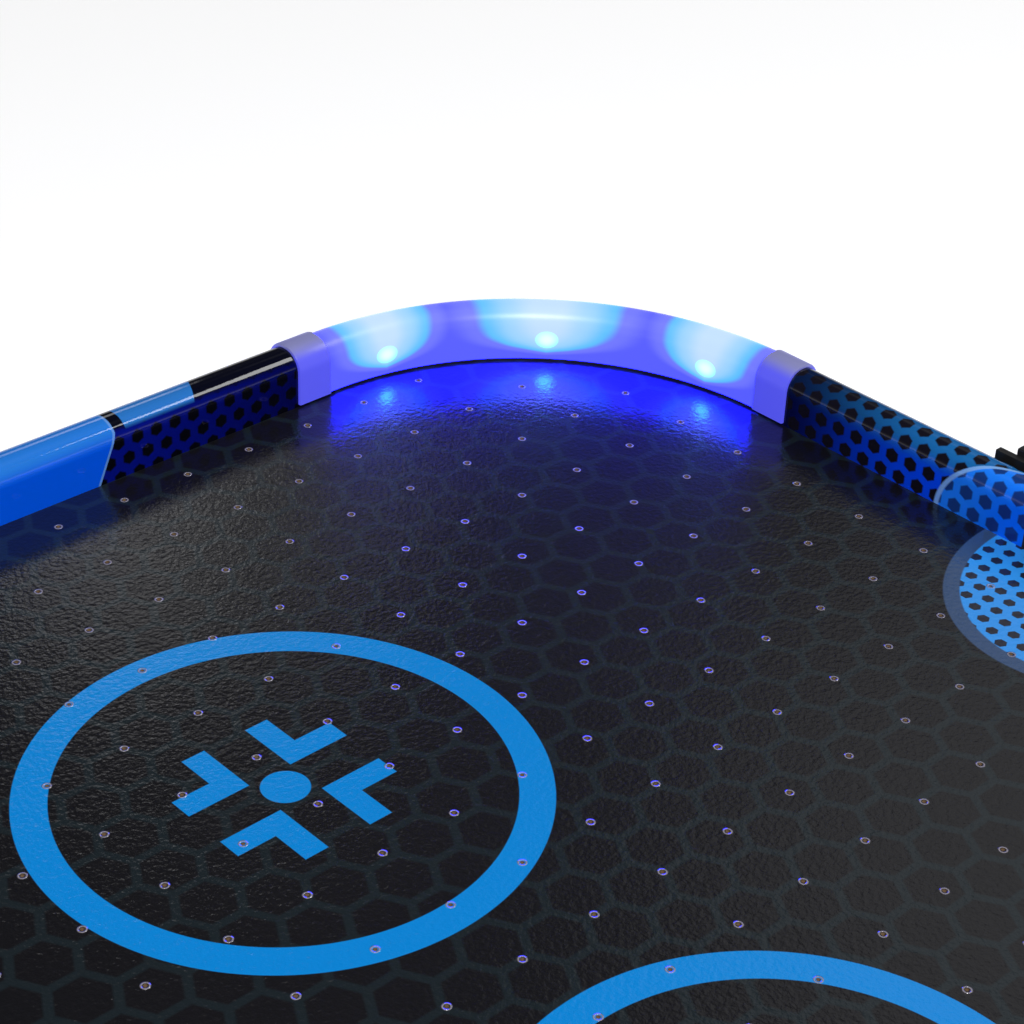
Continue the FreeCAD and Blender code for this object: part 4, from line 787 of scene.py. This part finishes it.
def add_area(name, place, target, width, height, power, colour=(1, 1, 1)):
    data = bpy.data.lights.new(name, "AREA")
    data.shape = "RECTANGLE"
    data.size = width
    data.size_y = height
    data.energy = power
    data.color = colour
    light = bpy.data.objects.new(name, data)
    light.location = place
    light.rotation_euler = (Vector(target) - Vector(place)).to_track_quat("-Z", "Y").to_euler()
    bpy.context.collection.objects.link(light)


# Bright patches of the studio's background, each one with its azimuth, elevation and half width
# in degrees, its level, and whether noise breaks it up.
STUDIO_PATCHES = (
    (55, 29, 7.2, 2.0, True),
    (27, 39, 14, 0.36, False),
)
PATCH_GRAIN = 15
PATCH_CONTRAST = 9.0
PATCH_CUT = -4.3


def add_world():
    """A softly lit studio: a pale rim, a dim room with a few pale patches, and a bright ceiling."""
    world = bpy.data.worlds.new("Studio")
    bpy.context.scene.world = world
    world.use_nodes = True
    tree = world.node_tree
    tree.nodes.clear()
    new = tree.nodes.new
    link = tree.links.new

    def math_node(operation, a, b=None, clamp=False):
        node = new("ShaderNodeMath")
        node.operation = operation
        node.use_clamp = clamp
        for socket, value in zip(node.inputs, (a, b)):
            if isinstance(value, bpy.types.NodeSocket):
                link(value, socket)
            elif value is not None:
                socket.default_value = value
        return node.outputs[0]

    out = new("ShaderNodeOutputWorld")
    back = new("ShaderNodeBackground")
    place = new("ShaderNodeTexCoord").outputs["Generated"]
    split = new("ShaderNodeSeparateXYZ")
    ramp = new("ShaderNodeValToRGB")
    stops = [(0.0, 0.95), (0.08, 0.9), (0.17, 0.12), (0.3, 0.03), (0.86, 0.03), (0.95, 0.5), (1.0, 0.8)]
    elements = ramp.color_ramp.elements
    elements[0].position, elements[1].position = stops[0][0], stops[-1][0]
    for position, _ in stops[1:-1]:
        elements.new(position)
    for element, (_, level) in zip(elements, stops):
        element.color = (level, level, level, 1)
    link(place, split.inputs[0])
    link(split.outputs[2], ramp.inputs[0])
    total = ramp.outputs[0]
    for azimuth, elevation, spread, level, patchy in STUDIO_PATCHES:
        az, el = math.radians(azimuth), math.radians(elevation)
        dot = new("ShaderNodeVectorMath")
        dot.operation = "DOT_PRODUCT"
        dot.inputs[1].default_value = (math.cos(el) * math.cos(az), math.cos(el) * math.sin(az), math.sin(el))
        link(place, dot.inputs[0])
        fall = new("ShaderNodeMapRange")
        fall.interpolation_type = "SMOOTHSTEP"
        fall.inputs["From Min"].default_value = math.cos(math.radians(spread))
        fall.inputs["From Max"].default_value = 1.0
        fall.inputs["To Max"].default_value = level
        link(dot.outputs["Value"], fall.inputs["Value"])
        share = fall.outputs[0]
        if patchy:
            noise = new("ShaderNodeTexNoise")
            noise.inputs["Scale"].default_value = PATCH_GRAIN
            noise.inputs["Detail"].default_value = 2
            link(place, noise.inputs["Vector"])
            contrast = math_node("MULTIPLY_ADD", noise.outputs["Fac"], PATCH_CONTRAST, clamp=True)
            contrast.node.inputs[2].default_value = PATCH_CUT
            share = math_node("MULTIPLY", share, contrast)
        total = math_node("ADD", total, share)
    link(total, back.inputs[0])
    link(back.outputs[0], out.inputs[0])


def add_floor():
    bm = bmesh.new()
    bmesh.ops.create_grid(bm, x_segments=4, y_segments=4, size=9)
    mesh = bpy.data.meshes.new("floor")
    bm.to_mesh(mesh)
    bm.free()
    p = Paint("floor_paint")
    colour = p.mix(p.noise(0.8, 2), (0.86, 0.86, 0.865), (0.9, 0.9, 0.905))
    paper = p.finish(Base_Color=colour, Roughness=0.7, Emission_Color=(1.0, 1.0, 1.0), Emission_Strength=0.4)
    floor = new_object("floor", mesh, paper)
    floor.location.z = -0.0002


def build():
    bpy.context.scene.view_settings.view_transform = "Standard"
    add_camera()
    add_world()
    add_floor()
    add_area("key", (-0.7, -1.3, 2.2), (0, 0, 0.1), 0.8, 0.8, 57)
    add_area("fill", (1.8, -0.6, 1.9), (0.2, 0, 0.1), 0.7, 0.7, 15)
    steel = metal("screw_steel", (0.42, 0.42, 0.43), (0.62, 0.62, 0.62), 0.35)
    blue = moulded("blue_plastic", (0.0, 0.065, 0.5), (0.002, 0.09, 0.62), 0.2, coat=0.6)
    build_board()
    black = build_corners()
    satin = build_goals(black, blue, steel)
    build_blower(steel)
    build_controls(satin, blue, black)
    build_playing_pieces(blue)


build()
